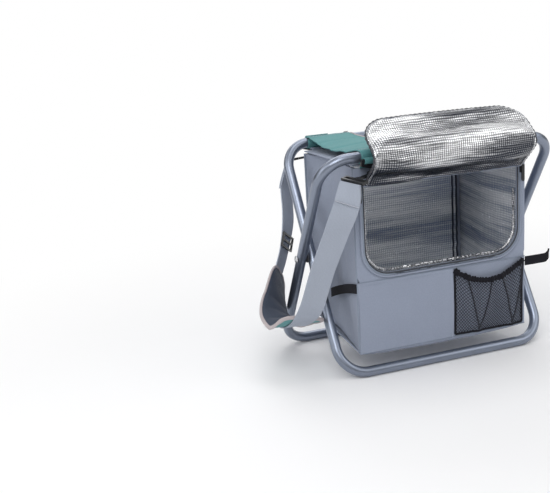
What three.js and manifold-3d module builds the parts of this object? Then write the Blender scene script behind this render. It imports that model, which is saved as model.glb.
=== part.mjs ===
// Folding stool with a cooler bag: two crossed tube loops on rivets, a cloth seat over the upper bars,
// an insulated bag between the legs and a shoulder strap on the left side.
// Millimetres, +X to the right, +Y to the back, +Z up. The origin is under the front floor bar's middle.

import * as THREE from "three";
import { mergeVertices } from "three/addons/utils/BufferGeometryUtils.js";
import Module from "manifold-3d";

// Fits
const clearance = 0.3;
const overrun = 5;

// Frame
const seatHeight = 350;
const legSpread = 200;
const outerWidth = 396;
const tubeDiameter = 16;
const tubeWall = 1.2;
const bendRadius = 44;
const legGap = 2.5;
const plugLength = 44;
const rivetPinDiameter = 5;
const rivetHeadDiameter = 12;
const rivetHeadHeight = 2.4;
const washerDiameter = 15;

// Seat and its sleeves
const clothThickness = 1.5;
const sleeveInnerEnd = 62;
const sleeveInset = 10;
const tongueLength = 12;
const wrapEnd = 408;
const skirtTurn = 30;
const seatSag = 7;
const seatCrease = 2.4;
const creasePitch = 52;
const notchDepth = 52;
const notchFloorHalf = 42;
const bindingWidth = 6;
const bindingThickness = 1;

// Cooler bag
const sideGap = 23.5;
const frontSetback = 2;
const rearSetback = 10;
const wallThickness = 2.5;
const lipFoot = 262;
const lipOuterEnd = 232;
const lipInnerEnd = 218;
const bagTopDrop = 16;
const bagFloorFront = 38;
const bagFloorRear = 60;
const liningThickness = 1.5;
const gussetFold = 9;
const lidGap = 3;
const lidThickness = 2;

// Mouth, zipper and flap
const mouthMargin = 15;
const mouthBottomRise = 11;
const mouthTopDrop = 26;
const mouthCornerRadius = 40;
const tapeWidth = 4;
const tapeThickness = 1.2;
const flapThickness = 3;
const hemReach = 7;
const flapLowerLength = 64.4;
const flapUpperLength = 76.6;
const flapLap = 3;
const flapLowerAngle = THREE.MathUtils.degToRad(136.9);
const flapUpperAngle = THREE.MathUtils.degToRad(40.8);
const hingeSetback = 2.1;
const flapLobe = 4;
const sliderWidth = 8;
const sliderHeight = 12;
const sliderDepth = 5;
const pullLength = 24;
const pullWidth = 5;
const pullThickness = 1.8;
const labelWidth = 62;
const labelHeight = 30;
const labelThickness = 0.8;
const labelInset = 22;

// Lower pockets
const pocketTop = 150;
const pocketDivide = 15;
const pocketThickness = 1.2;
const netThickness = 1;
const netBulge = 9;
const netSag = 24;
const netMargin = 3;
const netInset = 6;
const netColumns = 13;
const netRows = 9;
const netEdgeSteps = 20;
const netThreadShare = 0.26;
const pleatDepth = 2;
const elasticHeight = 7;
const elasticThickness = 3;

// Closure straps
const closureWidth = 15;
const closureThickness = 1.5;
const closureDip = 1;
const closureRightLength = 46;
const closureCurlRadius = 7;
const closureLeftLength = 96;
const closureDrop = 30;

// Shoulder strap and its hardware
const webbingWidth = 38;
const webbingThickness = 2;
const padWidth = 81;
const padThickness = 8;
const padRim = 2.4;
const padCoverThickness = 1.2;
const padLength = 245;
const tabWidth = 40;
const tabInset = 19;
const tabThickness = 1.6;
const tabFrom = 140;
const tabTo = 222;
const ringThickness = 4;
const ringBar = 5;
const ringSlot = 5;
const ringLift = -3;
const ringEye = 4.5;
const ringReach = 20;
const ringTipHalf = 6.8;
const loopBar = 3;
const loopSlot = 6;
const loopThickness = 4;
const stemWidth = 5;
const hookOuterRadius = 8;
const hookInnerRadius = 4.6;
const hookThickness = 3.6;
const gateFrom = 150;
const gateTo = 212;
const gateGap = 4;
const gateNoseGap = 18;
const adjusterHeight = 24;
const adjusterThickness = 3;
const adjusterStep = 62;

// Worked out
const barRadius = tubeDiameter / 2;
const tubeSides = 16;
const tubeCorner = barRadius / Math.cos(Math.PI / tubeSides);
const halfSpread = legSpread / 2;
const barHeight = seatHeight - barRadius;
const pivotHeight = seatHeight / 2;
const halfRise = barHeight - pivotHeight;
const loopHeight = 2 * Math.hypot(halfSpread, halfRise);
const tilt = Math.atan2(halfSpread, halfRise);
const innerWidth = outerWidth - 2 * (tubeDiameter + legGap);
const bagHalfWidth = innerWidth / 2 - barRadius - sideGap;
const bagFront = halfSpread - frontSetback;
const bagRear = halfSpread - rearSetback;
const bagTop = barHeight - bagTopDrop;
const lidHeight = bagTop + lidGap;
const sleeveOuterEnd = bagHalfWidth - sleeveInset;
const seamPlace = (sleeveInnerEnd + sleeveOuterEnd) / 2;
const mouthHalfWidth = bagHalfWidth - mouthMargin;
const mouthTop = bagTop - mouthTopDrop;
const mouthBottom = pocketTop + mouthBottomRise;
const flapHalfWidth = mouthHalfWidth + flapLap;
const closureTop = pocketTop - closureDip;
const tabCentre = tabInset - flapHalfWidth;
const sleeveBore = tubeCorner + clearance;
const sleeveRadius = sleeveBore + clothThickness;
const panelInside = bagFront - wallThickness;
const spanEnd = halfSpread - tongueLength - clearance;

const materials = {
  tube: paint(0xa9b4c4, 0.32, 0.75),
  steel: paint(0xb9bec6, 0.35, 0.9),
  teal: paint(0x5a9f98, 0.9, 0),
  binding: paint(0xb9aeae, 0.9, 0),
  oxford: paint(0x99a5b5, 0.9, 0),
  webbing: paint(0xa3acba, 0.95, 0),
  foil: paint(0xd8dbe0, 0.25, 0.9),
  black: paint(0x17171b, 0.85, 0),
  plastic: paint(0x1b1b1f, 0.45, 0),
};

const wasm = await Module();
wasm.setup();

const stool = new THREE.Group();
stool.position.set(0, halfSpread, 0);

function paint(color, roughness, metalness) {
  return new THREE.MeshStandardMaterial({ color, roughness, metalness });
}

function add(name, geometry, material, matrix) {
  const mesh = new THREE.Mesh(geometry, material);
  mesh.name = name;
  if (matrix) {
    mesh.applyMatrix4(matrix);
  }
  stool.add(mesh);
  return mesh;
}

// A frame from a place, the direction of its z axis and a hint for its x axis
function frameAt(origin, zDirection, xHint) {
  const z = zDirection.clone().normalize();
  const x = xHint.clone().addScaledVector(z, -xHint.dot(z)).normalize();
  const y = new THREE.Vector3().crossVectors(z, x);
  return new THREE.Matrix4().makeBasis(x, y, z).setPosition(origin);
}

function welded(geometry) {
  const bare = geometry.clone();
  bare.deleteAttribute("normal");
  bare.deleteAttribute("uv");
  return mergeVertices(bare);
}

function solid(geometry) {
  const merged = welded(geometry);
  return new wasm.Manifold(
    new wasm.Mesh({
      numProp: 3,
      vertProperties: merged.attributes.position.array,
      triVerts: new Uint32Array(merged.index.array),
    }),
  );
}

function fromSolid(body) {
  const mesh = body.getMesh();
  const geometry = new THREE.BufferGeometry();
  geometry.setAttribute("position", new THREE.BufferAttribute(mesh.vertProperties, 3));
  geometry.setIndex(new THREE.BufferAttribute(mesh.triVerts, 1));
  geometry.computeVertexNormals();
  return geometry;
}

function signedVolume(positions, indices) {
  const corner = (index) => new THREE.Vector3().fromArray(positions, 3 * index);
  let sum = 0;
  for (let i = 0; i < indices.length; i += 3) {
    const [a, b, c] = [0, 1, 2].map((k) => corner(indices[i + k]));
    sum += a.dot(b.cross(c));
  }
  return sum;
}

// A closed body through rings of an even number of points, each ring capped in rungs across
function loft(rings) {
  const count = rings[0].length;
  const last = (rings.length - 1) * count;
  const positions = rings.flat().flatMap((point) => point.toArray());
  const indices = [];
  for (let start = 0; start < last; start += count) {
    for (let i = 0; i < count; i += 1) {
      const a = start + i;
      const b = start + ((i + 1) % count);
      indices.push(a, b, b + count, a, b + count, a + count);
    }
  }
  for (let i = 0; i < count / 2 - 1; i += 1) {
    const j = count - 1 - i;
    indices.push(i + 1, i, j, i + 1, j, j - 1);
    indices.push(last + i, last + i + 1, last + j - 1, last + i, last + j - 1, last + j);
  }
  if (signedVolume(positions, indices) < 0) {
    indices.reverse();
  }
  const geometry = new THREE.BufferGeometry();
  geometry.setAttribute("position", new THREE.Float32BufferAttribute(positions, 3));
  geometry.setIndex(indices);
  geometry.computeVertexNormals();
  return geometry;
}

function steps(count) {
  return Array.from({ length: count + 1 }, (_, i) => i / count);
}

// Cloth of even thickness along a surface given over u and v from 0 to 1
function cloth(surface, uPlaces, vPlaces, thickness) {
  const nudge = 1e-3;
  const side = (u, v, share) => {
    const along = surface(Math.min(u + nudge, 1), v).sub(surface(Math.max(u - nudge, 0), v));
    const across = surface(u, Math.min(v + nudge, 1)).sub(surface(u, Math.max(v - nudge, 0)));
    const normal = along.cross(across).normalize();
    return surface(u, v).addScaledVector(normal, thickness * share);
  };
  const rings = uPlaces.map((u) => [
    ...vPlaces.map((v) => side(u, v, 0.5)),
    ...vPlaces.toReversed().map((v) => side(u, v, -0.5)),
  ]);
  return loft(rings);
}

function extruded(outline, depth, holes = []) {
  const shape = new THREE.Shape(outline);
  shape.holes = holes.map((hole) => new THREE.Path(hole));
  return new THREE.ExtrudeGeometry(shape, { depth, bevelEnabled: false });
}

function at(x, y) {
  return new THREE.Vector2(x, y);
}

function arc(x, y, radius, from, to, count) {
  return steps(count).map((share) => {
    const angle = THREE.MathUtils.degToRad(from + (to - from) * share);
    return at(x + radius * Math.cos(angle), y + radius * Math.sin(angle));
  });
}

// A round outline whose flats, not its corners, lie at the radius
function flatSided(radius, sides, facet = 0) {
  const reach = radius / Math.cos(Math.PI / sides);
  return Array.from({ length: sides }, (_, i) => {
    const angle = facet + ((i + 0.5) * 2 * Math.PI) / sides;
    return at(reach * Math.cos(angle), reach * Math.sin(angle));
  });
}

// A line through given points, stepped at those points only
class Route extends THREE.Curve {
  constructor(points) {
    super();
    this.points = points;
  }

  getPoint(t, target = new THREE.Vector3()) {
    const place = THREE.MathUtils.clamp(t, 0, 1) * (this.points.length - 1);
    const index = Math.min(Math.floor(place), this.points.length - 2);
    return target.lerpVectors(this.points[index], this.points[index + 1], place - index);
  }

  getPointAt(u, target) {
    return this.getPoint(u, target);
  }

  getTangentAt(u, target) {
    return this.getTangent(u, target);
  }
}

function sweep(outline, points, holes = []) {
  const shape = new THREE.Shape(outline);
  shape.holes = holes.map((hole) => new THREE.Path(hole));
  const extrudePath = new Route(points);
  return new THREE.ExtrudeGeometry(shape, { steps: points.length - 1, extrudePath, bevelEnabled: false });
}

// Places along the x axis for pieces drawn in the Y-Z plane
const alongX = new THREE.Matrix4().makeBasis(
  new THREE.Vector3(0, 1, 0),
  new THREE.Vector3(0, 0, 1),
  new THREE.Vector3(1, 0, 0),
);

// The same for the rear, with the drawing's x axis turned to the front
const alongXRear = new THREE.Matrix4().makeBasis(
  new THREE.Vector3(0, -1, 0),
  new THREE.Vector3(0, 0, 1),
  new THREE.Vector3(-1, 0, 0),
);

// Drawings in the X-Z plane that grow to the front
const toFront = new THREE.Matrix4().makeBasis(
  new THREE.Vector3(1, 0, 0),
  new THREE.Vector3(0, 0, 1),
  new THREE.Vector3(0, -1, 0),
);

function moved(matrix, x, y, z) {
  return new THREE.Matrix4().makeTranslation(x, y, z).multiply(matrix);
}

// Frame loops, each bent from one tube whose ends butt on a plug under the seat's right sleeve
function loopRoute(width) {
  const half = width / 2 - bendRadius;
  const rise = loopHeight / 2 - bendRadius;
  const corner = (x, z, from) =>
    arc(x, z, bendRadius, from, from - 90, 8).map((point) => new THREE.Vector3(point.x, 0, point.y));
  const seam = (x) => new THREE.Vector3(x, 0, loopHeight / 2);
  return [
    seam(seamPlace + clearance / 2),
    ...corner(half, rise, 90),
    ...corner(half, -rise, 0),
    ...corner(-half, -rise, -90),
    ...corner(-half, rise, 180),
    seam(seamPlace - clearance / 2),
  ];
}

function frameLoop(name, width, lean) {
  const facet = Math.PI + lean;
  const outline = flatSided(barRadius, tubeSides, facet);
  const bore = flatSided(barRadius - tubeWall, tubeSides / 2, facet);
  const tube = solid(sweep(outline, loopRoute(width), [bore]));
  const pinBore = new THREE.CylinderGeometry(
    rivetPinDiameter / 2 + clearance,
    rivetPinDiameter / 2 + clearance,
    width + 2 * tubeDiameter,
    12,
  );
  pinBore.rotateZ(Math.PI / 2);
  const placed = new THREE.Matrix4().makeTranslation(0, 0, pivotHeight).multiply(new THREE.Matrix4().makeRotationX(lean));
  add(name, fromSolid(tube.subtract(solid(pinBore))), materials.tube, placed);
  const plug = extruded(flatSided(barRadius - tubeWall - clearance, 8, facet), plugLength);
  const plugPlace = new THREE.Matrix4().makeBasis(
    new THREE.Vector3(0, 0, -1),
    new THREE.Vector3(0, 1, 0),
    new THREE.Vector3(1, 0, 0),
  );
  plugPlace.setPosition(seamPlace - plugLength / 2, 0, loopHeight / 2);
  add(`${name}_plug`, plug, materials.steel, placed.clone().multiply(plugPlace));
}

function pivots() {
  const inner = innerWidth / 2 - tubeCorner - clearance;
  const outer = outerWidth / 2 + tubeCorner + clearance;
  const pin = rivetPinDiameter / 2;
  const head = rivetHeadDiameter / 2;
  const profile = [
    at(0, inner - rivetHeadHeight),
    at(head / 2, inner - rivetHeadHeight),
    at(head, inner - rivetHeadHeight / 2),
    at(head, inner),
    at(pin, inner),
    at(pin, outer),
    at(head, outer),
    at(head, outer + rivetHeadHeight / 2),
    at(head / 2, outer + rivetHeadHeight),
    at(0, outer + rivetHeadHeight),
  ];
  const gapStart = innerWidth / 2 + tubeCorner + clearance;
  const gapEnd = outerWidth / 2 - tubeCorner - clearance;
  const bore = pin + clearance;
  const rim = washerDiameter / 2;
  const washer = [at(bore, gapStart), at(rim, gapStart), at(rim, gapEnd), at(bore, gapEnd), at(bore, gapStart)];
  for (const [side, name] of [[1, "right"], [-1, "left"]]) {
    const sideways = new THREE.Matrix4().makeRotationZ((-side * Math.PI) / 2);
    const place = moved(sideways, 0, 0, pivotHeight);
    add(`pivot_rivet_${name}`, new THREE.LatheGeometry(profile, 16), materials.steel, place);
    add(`pivot_washer_${name}`, new THREE.LatheGeometry(washer, 16), materials.plastic, place);
  }
}

// Sleeves: cloth round a bar with a tongue to the seat, and in front a skirt down to the bag
function sleeveOutline(skirt) {
  const outer = sleeveRadius;
  const tongue = [at(tongueLength, outer), at(0, outer)];
  const start = [at(tongueLength, outer - clothThickness)];
  if (!skirt) {
    return [...tongue, ...arc(0, 0, outer, 90, wrapEnd, 22).slice(1), ...start];
  }
  const foot = at(halfSpread - bagFront, bagTop - barHeight + clearance);
  const away = Math.atan2(foot.y, foot.x) - Math.acos(outer / foot.length());
  const touch = THREE.MathUtils.radToDeg(away) + 360;
  return [
    ...tongue,
    ...arc(0, 0, outer, 90, touch, 9).slice(1),
    foot,
    at(foot.x + clothThickness, foot.y),
    ...arc(0, 0, outer, touch + skirtTurn, wrapEnd, 14),
    ...start,
  ];
}

function sleeves() {
  const bore = flatSided(sleeveBore, 20).reverse();
  const length = sleeveOuterEnd - sleeveInnerEnd;
  for (const [side, name] of [[1, "right"], [-1, "left"]]) {
    const start = side > 0 ? sleeveInnerEnd : -sleeveOuterEnd;
    const front = extruded(sleeveOutline(true), length, [bore]);
    add(`seat_sleeve_front_${name}`, front, materials.teal, moved(alongX, start, -halfSpread, barHeight));
    const rear = extruded(sleeveOutline(false), length, [bore]);
    const rearPlace = moved(alongXRear, start + length, halfSpread, barHeight);
    add(`seat_sleeve_rear_${name}`, rear, materials.teal, rearPlace);
  }
}

// The seat's edge over each bar, cut back in the middle by a rounded carry notch
function seatEdge(x) {
  const past = (Math.abs(x) - notchFloorHalf) / (sleeveInnerEnd - notchFloorHalf);
  const turn = Math.min(Math.max(past, 0), 1);
  return spanEnd - notchDepth * Math.sqrt(1 - turn * turn);
}

function seatHeightAt(x, y) {
  const level = barHeight + sleeveRadius - clothThickness / 2;
  const across = 1 - (y / spanEnd) ** 2;
  const outward = (Math.abs(x) / sleeveOuterEnd) ** 4;
  const crease = Math.cos((2 * Math.PI * y) / creasePitch) - 1;
  return level - across * (seatSag * (0.6 + 0.8 * outward) - (seatCrease * crease) / 2);
}

function seatSpan() {
  const turns = steps(6).map((share) => Math.sin((share * Math.PI) / 2));
  const notchXs = turns.map((turn) => notchFloorHalf + turn * (sleeveInnerEnd - notchFloorHalf));
  const half = [0, notchFloorHalf / 2, ...notchXs, sleeveOuterEnd * 0.62, sleeveOuterEnd * 0.82, sleeveOuterEnd];
  const xs = [...half.slice(1).map((x) => -x).reverse(), ...half];
  const places = xs.map((x) => (x / sleeveOuterEnd + 1) / 2);
  const surface = (u, v) => {
    const x = (2 * u - 1) * sleeveOuterEnd;
    const y = (2 * v - 1) * seatEdge(x);
    return new THREE.Vector3(x, y, seatHeightAt(x, y));
  };
  const rings = places.map((u) => {
    const lift = (v, rise) => surface(u, v).add(new THREE.Vector3(0, 0, rise));
    const vs = steps(12);
    return [
      ...vs.map((v) => lift(v, clothThickness / 2)),
      ...vs.toReversed().map((v) => lift(v, -clothThickness / 2)),
    ];
  });
  add("seat_panel", loft(rings), materials.teal);
}

// Tape folded over the notch side of each sleeve, from the bar's top round to the skirt
function sleeveBindings() {
  const inner = sleeveRadius + clearance;
  const outline = [...arc(0, 0, inner, 94, 220, 9), ...arc(0, 0, inner + bindingThickness, 220, 94, 9)];
  const geometry = extruded(outline, bindingWidth);
  for (const [side, name] of [[1, "right"], [-1, "left"]]) {
    const start = side > 0 ? sleeveInnerEnd : -sleeveInnerEnd - bindingWidth;
    add(`notch_binding_front_${name}`, geometry, materials.binding, moved(alongX, start, -halfSpread, barHeight));
    const rearPlace = moved(alongXRear, start + bindingWidth, halfSpread, barHeight);
    add(`notch_binding_rear_${name}`, geometry, materials.binding, rearPlace);
  }
}

// The mouth's outline, or one grown by a margin, from the right top round the bottom to the left top
function mouthLine(margin, top) {
  const half = mouthHalfWidth + margin;
  const radius = mouthCornerRadius + margin;
  const low = mouthBottom - margin + radius;
  return [
    at(half, top),
    ...arc(half - radius, low, radius, 0, -90, 8),
    ...arc(-half + radius, low, radius, -90, -180, 8),
    at(-half, top),
  ];
}

function bagFrontPanel() {
  const outline = [
    at(-bagHalfWidth, bagFloorFront),
    at(bagHalfWidth, bagFloorFront),
    at(bagHalfWidth, bagTop),
    at(-bagHalfWidth, bagTop),
  ];
  const panel = extruded(outline, wallThickness, [mouthLine(0, mouthTop)]);
  add("bag_front_panel", panel, materials.oxford, moved(toFront, 0, -panelInside, 0));
  const tapeTop = mouthTop - flapThickness / 2 - clearance;
  const tape = [...mouthLine(0, tapeTop), ...mouthLine(tapeWidth, tapeTop).reverse()];
  const tapePlace = moved(toFront, 0, -bagFront - clearance, 0);
  add("mouth_zipper_tape", extruded(tape, tapeThickness), materials.black, tapePlace);
}

function bagFloorHeight(y) {
  return bagFloorFront + ((bagFloorRear - bagFloorFront) * (y + panelInside)) / (panelInside + bagRear);
}

function gussetX(y, depth) {
  const share = 1 - Math.abs(y) / panelInside;
  return bagHalfWidth - depth - gussetFold * Math.max(share, 0);
}

// A side wall folded in along its middle, standing on the sloping floor
function sideWall(side, depth, thickness, lift) {
  const front = -panelInside + clearance;
  const back = bagRear - wallThickness - clearance;
  const surface = (u, v) => {
    const y = front + (back - front) * u;
    const low = bagFloorHeight(y) + lift;
    return new THREE.Vector3(side * gussetX(y, depth), y, low + (bagTop - low) * v);
  };
  const fold = -front / (back - front);
  return cloth(surface, [0, fold / 2, fold, (1 + fold) / 2, 1], [0, 1], thickness);
}

function bagSides() {
  const wall = wallThickness / 2;
  const lining = wallThickness + clearance + liningThickness / 2;
  const floorLift = wallThickness + clearance;
  for (const [side, name] of [[1, "right"], [-1, "left"]]) {
    add(`bag_gusset_${name}`, sideWall(side, wall, wallThickness, floorLift), materials.oxford);
    const lift = 2 * floorLift + liningThickness;
    add(`foil_lining_${name}`, sideWall(side, lining, liningThickness, lift), materials.foil);
  }
}

function floorSheet(halfWidth, front, back, lift, thickness) {
  const outline = [
    at(front, bagFloorHeight(front) + lift),
    at(back, bagFloorHeight(back) + lift),
    at(back, bagFloorHeight(back) + lift + thickness),
    at(front, bagFloorHeight(front) + lift + thickness),
  ];
  return extruded(outline, 2 * halfWidth);
}

function bagFloor() {
  const front = -panelInside + clearance;
  const back = bagRear - wallThickness - clearance;
  const floor = floorSheet(bagHalfWidth, front, back, 0, wallThickness);
  add("bag_floor", floor, materials.oxford, moved(alongX, -bagHalfWidth, 0, 0));
  const half = bagHalfWidth - wallThickness - clearance - liningThickness - gussetFold;
  const lift = wallThickness + clearance;
  const lining = floorSheet(half, front, back - clearance - liningThickness, lift, liningThickness);
  add("foil_lining_floor", lining, materials.foil, moved(alongX, -half, 0, 0));
}

// The rear wall ends in a lip that hangs it under the rear sleeves, round the bar it swings on
function bagRearWall() {
  const lip = sleeveRadius + clearance;
  const inner = -(halfSpread - bagRear) - wallThickness;
  const outer = inner + wallThickness;
  const low = bagFloorHeight(bagRear) - barHeight;
  const high = -lip - wallThickness;
  const wall = extruded([at(inner, low), at(outer, low), at(outer, high), at(inner, high)], 2 * bagHalfWidth);
  const lipOutline = [
    at(inner, high - overrun),
    at(outer, high - overrun),
    ...arc(0, 0, lip + wallThickness, lipOuterEnd, lipFoot, 4),
    ...arc(0, 0, lip, lipFoot, lipInnerEnd, 5),
    at(inner, high),
  ];
  const lipHalf = sleeveOuterEnd - overrun;
  const hook = extruded(lipOutline, 2 * lipHalf);
  hook.translate(0, 0, bagHalfWidth - lipHalf);
  const joined = fromSolid(solid(wall).add(solid(hook)));
  add("bag_rear_panel", joined, materials.oxford, moved(alongX, -bagHalfWidth, halfSpread, barHeight));
  const back = bagRear - wallThickness - clearance;
  const half = bagHalfWidth - wallThickness - 2 * clearance - liningThickness - gussetFold;
  const front = back - liningThickness;
  const lift = 2 * (wallThickness + clearance) + liningThickness;
  const foot = bagFloorHeight(front) + lift;
  const lining = extruded([at(front, foot), at(back, foot), at(back, bagTop), at(front, bagTop)], 2 * half);
  add("foil_lining_rear", lining, materials.foil, moved(alongX, -half, 0, 0));
}

function bagLid() {
  const back = bagRear - wallThickness - clearance;
  const lid = new THREE.BoxGeometry(2 * bagHalfWidth, panelInside + back, lidThickness);
  lid.translate(0, (back - panelInside) / 2, lidHeight + lidThickness / 2);
  add("bag_lid_panel", lid, materials.teal);
}

// Flap: a hem on the panel carries two foil-lined folds that lie open above the mouth
const flapRoot = new THREE.Vector3(0, -bagFront - hemReach, mouthTop);
const flapCrest = flapRoot
  .clone()
  .add(new THREE.Vector3(0, Math.cos(flapLowerAngle), Math.sin(flapLowerAngle)).multiplyScalar(flapLowerLength));

function foldPoint(root, angle, along, off, x) {
  const y = root.y + Math.cos(angle) * along + Math.sin(angle) * off;
  const z = root.z + Math.sin(angle) * along - Math.cos(angle) * off;
  return new THREE.Vector3(x, y, z);
}

// Foil lobes stand off along the fold and die out at its ends and sides
function lobe(x, share, waves) {
  const side = Math.max(1 - (Math.abs(x) / flapHalfWidth) ** 6, 0);
  const drift = 0.25 * Math.sin((Math.PI * x) / flapHalfWidth);
  const wave = Math.sin(waves * Math.PI * (share + drift * share * (1 - share)));
  return -flapLobe * side * Math.sin(Math.PI * share) * wave * wave;
}

function flapPlaces() {
  const corner = flapHalfWidth - mouthCornerRadius;
  const rounding = steps(6).map((share) => corner + mouthCornerRadius * Math.sin((share * Math.PI) / 2) * 0.985);
  const half = [0, corner * 0.3, corner * 0.65, ...rounding, flapHalfWidth];
  return [...half.slice(1).map((x) => -x).reverse(), ...half];
}

function rimCut(x) {
  const past = Math.max(Math.abs(x) - (flapHalfWidth - mouthCornerRadius), 0);
  return mouthCornerRadius - Math.sqrt(Math.max(mouthCornerRadius ** 2 - past ** 2, 0));
}

function fold(root, angle, lengthAt, waves, nosed) {
  const half = flapThickness / 2;
  const shares = steps(9);
  const rings = flapPlaces().map((x) => {
    const reach = lengthAt(x);
    const along = (share) => hingeSetback + (reach - hingeSetback) * share;
    const side = (share, off) => foldPoint(root, angle, along(share), off + lobe(x, share, waves), x);
    const noseShares = nosed ? [-60, -20, 20, 60] : [];
    const nose = noseShares.map((degrees) => {
      const turn = THREE.MathUtils.degToRad(degrees);
      return foldPoint(root, angle, reach + half * Math.cos(turn), half * Math.sin(turn), x);
    });
    return [...shares.map((s) => side(s, -half)), ...nose, ...shares.toReversed().map((s) => side(s, half))];
  });
  return loft(rings);
}

function flap() {
  const noseless = foldNoseHem();
  add("flap_hem", noseless, materials.oxford);
  const lower = fold(flapRoot, flapLowerAngle, () => flapLowerLength, 2, true);
  add("flap_lower_fold", lower, materials.foil);
  const upper = fold(flapCrest, flapUpperAngle, (x) => flapUpperLength - rimCut(x), 2, false);
  add("flap_upper_fold", upper, materials.foil);
}

function foldNoseHem() {
  const half = flapThickness / 2;
  const back = -bagFront - clearance;
  const turned = arc(flapRoot.y, flapRoot.z, half, 90, 270, 6);
  const outline = [...turned, at(back, flapRoot.z - half), at(back, flapRoot.z + half)];
  const hem = extruded(outline, 2 * flapHalfWidth);
  hem.applyMatrix4(moved(alongX, -flapHalfWidth, 0, 0));
  return hem;
}

// Zipper sliders wait at the mouth's top corners, each with a pull hanging from its bridge
function zipperSliders() {
  const x = mouthHalfWidth + tapeWidth + clearance + sliderWidth / 2;
  const back = -bagFront - clearance;
  const top = mouthTop - clearance;
  const body = [
    at(-sliderWidth / 2, -sliderHeight),
    at(sliderWidth / 2, -sliderHeight),
    at(sliderWidth / 2, 0),
    at(-sliderWidth / 2, 0),
  ];
  const pull = [
    ...arc(0, -pullLength + pullWidth / 2, pullWidth / 2, 180, 360, 6),
    at(pullWidth / 2, 0),
    at(-pullWidth / 2, 0),
  ];
  const eye = arc(0, -pullLength + pullWidth / 2, pullWidth / 5, 0, 315, 7).reverse();
  for (const [side, name] of [[1, "right"], [-1, "left"]]) {
    add(`zipper_slider_${name}`, extruded(body, sliderDepth), materials.plastic, moved(toFront, side * x, back, top));
    const pullPlace = moved(toFront, side * x, back - sliderDepth - clearance, top - pullThickness);
    add(`zipper_pull_${name}`, extruded(pull, pullThickness, [eye]), materials.plastic, pullPlace);
  }
}

function labelPatch() {
  const patch = new THREE.BoxGeometry(labelWidth, labelHeight, labelThickness);
  const along = flapUpperLength - labelInset - labelHeight / 2;
  const off = flapThickness / 2 + clearance + labelThickness / 2;
  const place = foldPoint(flapCrest, flapUpperAngle, along, off, flapHalfWidth - mouthCornerRadius - labelWidth / 2);
  const up = new THREE.Vector3(0, Math.sin(flapUpperAngle), -Math.cos(flapUpperAngle));
  add("label_patch", patch, materials.black, frameAt(place, up, new THREE.Vector3(1, 0, 0)));
}

// Lower pockets
function pocketPanel() {
  const outline = [
    at(-bagHalfWidth, bagFloorFront),
    at(pocketDivide - clearance, bagFloorFront),
    at(pocketDivide - clearance, pocketTop),
    at(-bagHalfWidth, pocketTop),
  ];
  const place = moved(toFront, 0, -bagFront - clearance, 0);
  add("front_pocket_panel", extruded(outline, pocketThickness), materials.oxford, place);
}

const netLeft = pocketDivide + netMargin;
const netRight = bagHalfWidth - netInset;
const netBottom = bagFloorFront + netMargin;

function netTopAt(share) {
  const sag = Math.max(Math.sin(Math.PI * share), 0) ** 0.8;
  return pocketTop - elasticHeight - (netSag * (1 - 0.15 * share)) * sag;
}

// How far the hanging net stands off the panel: its belly and two pleats
function netReach(u, v) {
  const across = Math.max(Math.sin(Math.PI * u), 0) ** 0.6;
  const belly = netBulge * across * Math.sin((Math.PI * (0.15 + v)) / 1.6);
  const pleats = [0.32, 0.82].map((centre) => Math.max(0, 1 - Math.abs(v - 6 * Math.abs(u - centre)) * 2.4));
  return bagFront + clearance + Math.max(belly, 0) + pleatDepth * (pleats[0] + pleats[1]);
}

function netSpot(u, v) {
  return at(netLeft + (netRight - netLeft) * u, netBottom + (netTopAt(u) - netBottom) * v);
}

// Net of diamond gaps, drawn flat with its sagging top and then hung with its belly and pleats
function meshPocket() {
  const gaps = [];
  const halfWide = (1 - netThreadShare) / 2 / (netColumns + 0.5);
  const halfHigh = (1 - netThreadShare) / 2 / netRows;
  for (let row = 0; row < netRows; row += 1) {
    for (let column = 0; column < netColumns; column += 1) {
      const u = (column + 0.5 + (row % 2) / 2) / (netColumns + 0.5);
      const v = (row + 0.5) / netRows;
      const corners = [[u, v + halfHigh], [u + halfWide, v], [u, v - halfHigh], [u - halfWide, v]];
      gaps.push(corners.map((corner) => netSpot(...corner)));
    }
  }
  const top = steps(netEdgeSteps).toReversed().map((u) => netSpot(u, 1));
  const net = extruded([netSpot(0, 0), netSpot(1, 0), ...top], netThickness, gaps);
  const spots = net.attributes.position;
  for (let i = 0; i < spots.count; i += 1) {
    const [x, z] = [spots.getX(i), spots.getY(i)];
    const u = THREE.MathUtils.clamp((x - netLeft) / (netRight - netLeft), 0, 1);
    const v = (z - netBottom) / (netTopAt(u) - netBottom);
    spots.setXYZ(i, x, -netReach(u, v) - spots.getZ(i), z);
  }
  add("mesh_pocket", flipped(net), materials.black);
}

// A drawing whose depth grows to the front is mirrored, so its faces are turned round
function flipped(geometry) {
  const merged = welded(geometry);
  const indices = Array.from(merged.index.array);
  if (signedVolume(merged.attributes.position.array, indices) < 0) {
    indices.reverse();
  }
  merged.setIndex(indices);
  merged.computeVertexNormals();
  return merged;
}

function pocketElastic() {
  const rings = steps(netEdgeSteps).map((u) => {
    const foot = netSpot(u, 1);
    const z0 = foot.y + clearance;
    const z1 = z0 + elasticHeight;
    const y0 = -netReach(u, 1);
    const y1 = y0 - elasticThickness;
    return [[y0, z0], [y1, z0], [y1, z1], [y0, z1]].map(([y, z]) => new THREE.Vector3(foot.x, y, z));
  });
  add("pocket_elastic", loft(rings), materials.black);
}

// Closure straps
function closureRight() {
  const start = bagHalfWidth + 3 * clearance;
  const reach = start + closureRightLength;
  const outline = [
    at(start, closureTop - closureWidth),
    at(reach, closureTop - closureWidth),
    at(reach, closureTop + closureCurlRadius),
    at(reach - closureThickness * 2, closureTop + closureCurlRadius),
    at(reach - closureThickness * 2, closureTop),
    at(start, closureTop),
  ];
  add("closure_strap_right", extruded(outline, closureThickness), materials.black, moved(toFront, 0, -bagFront, 0));
}

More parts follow.
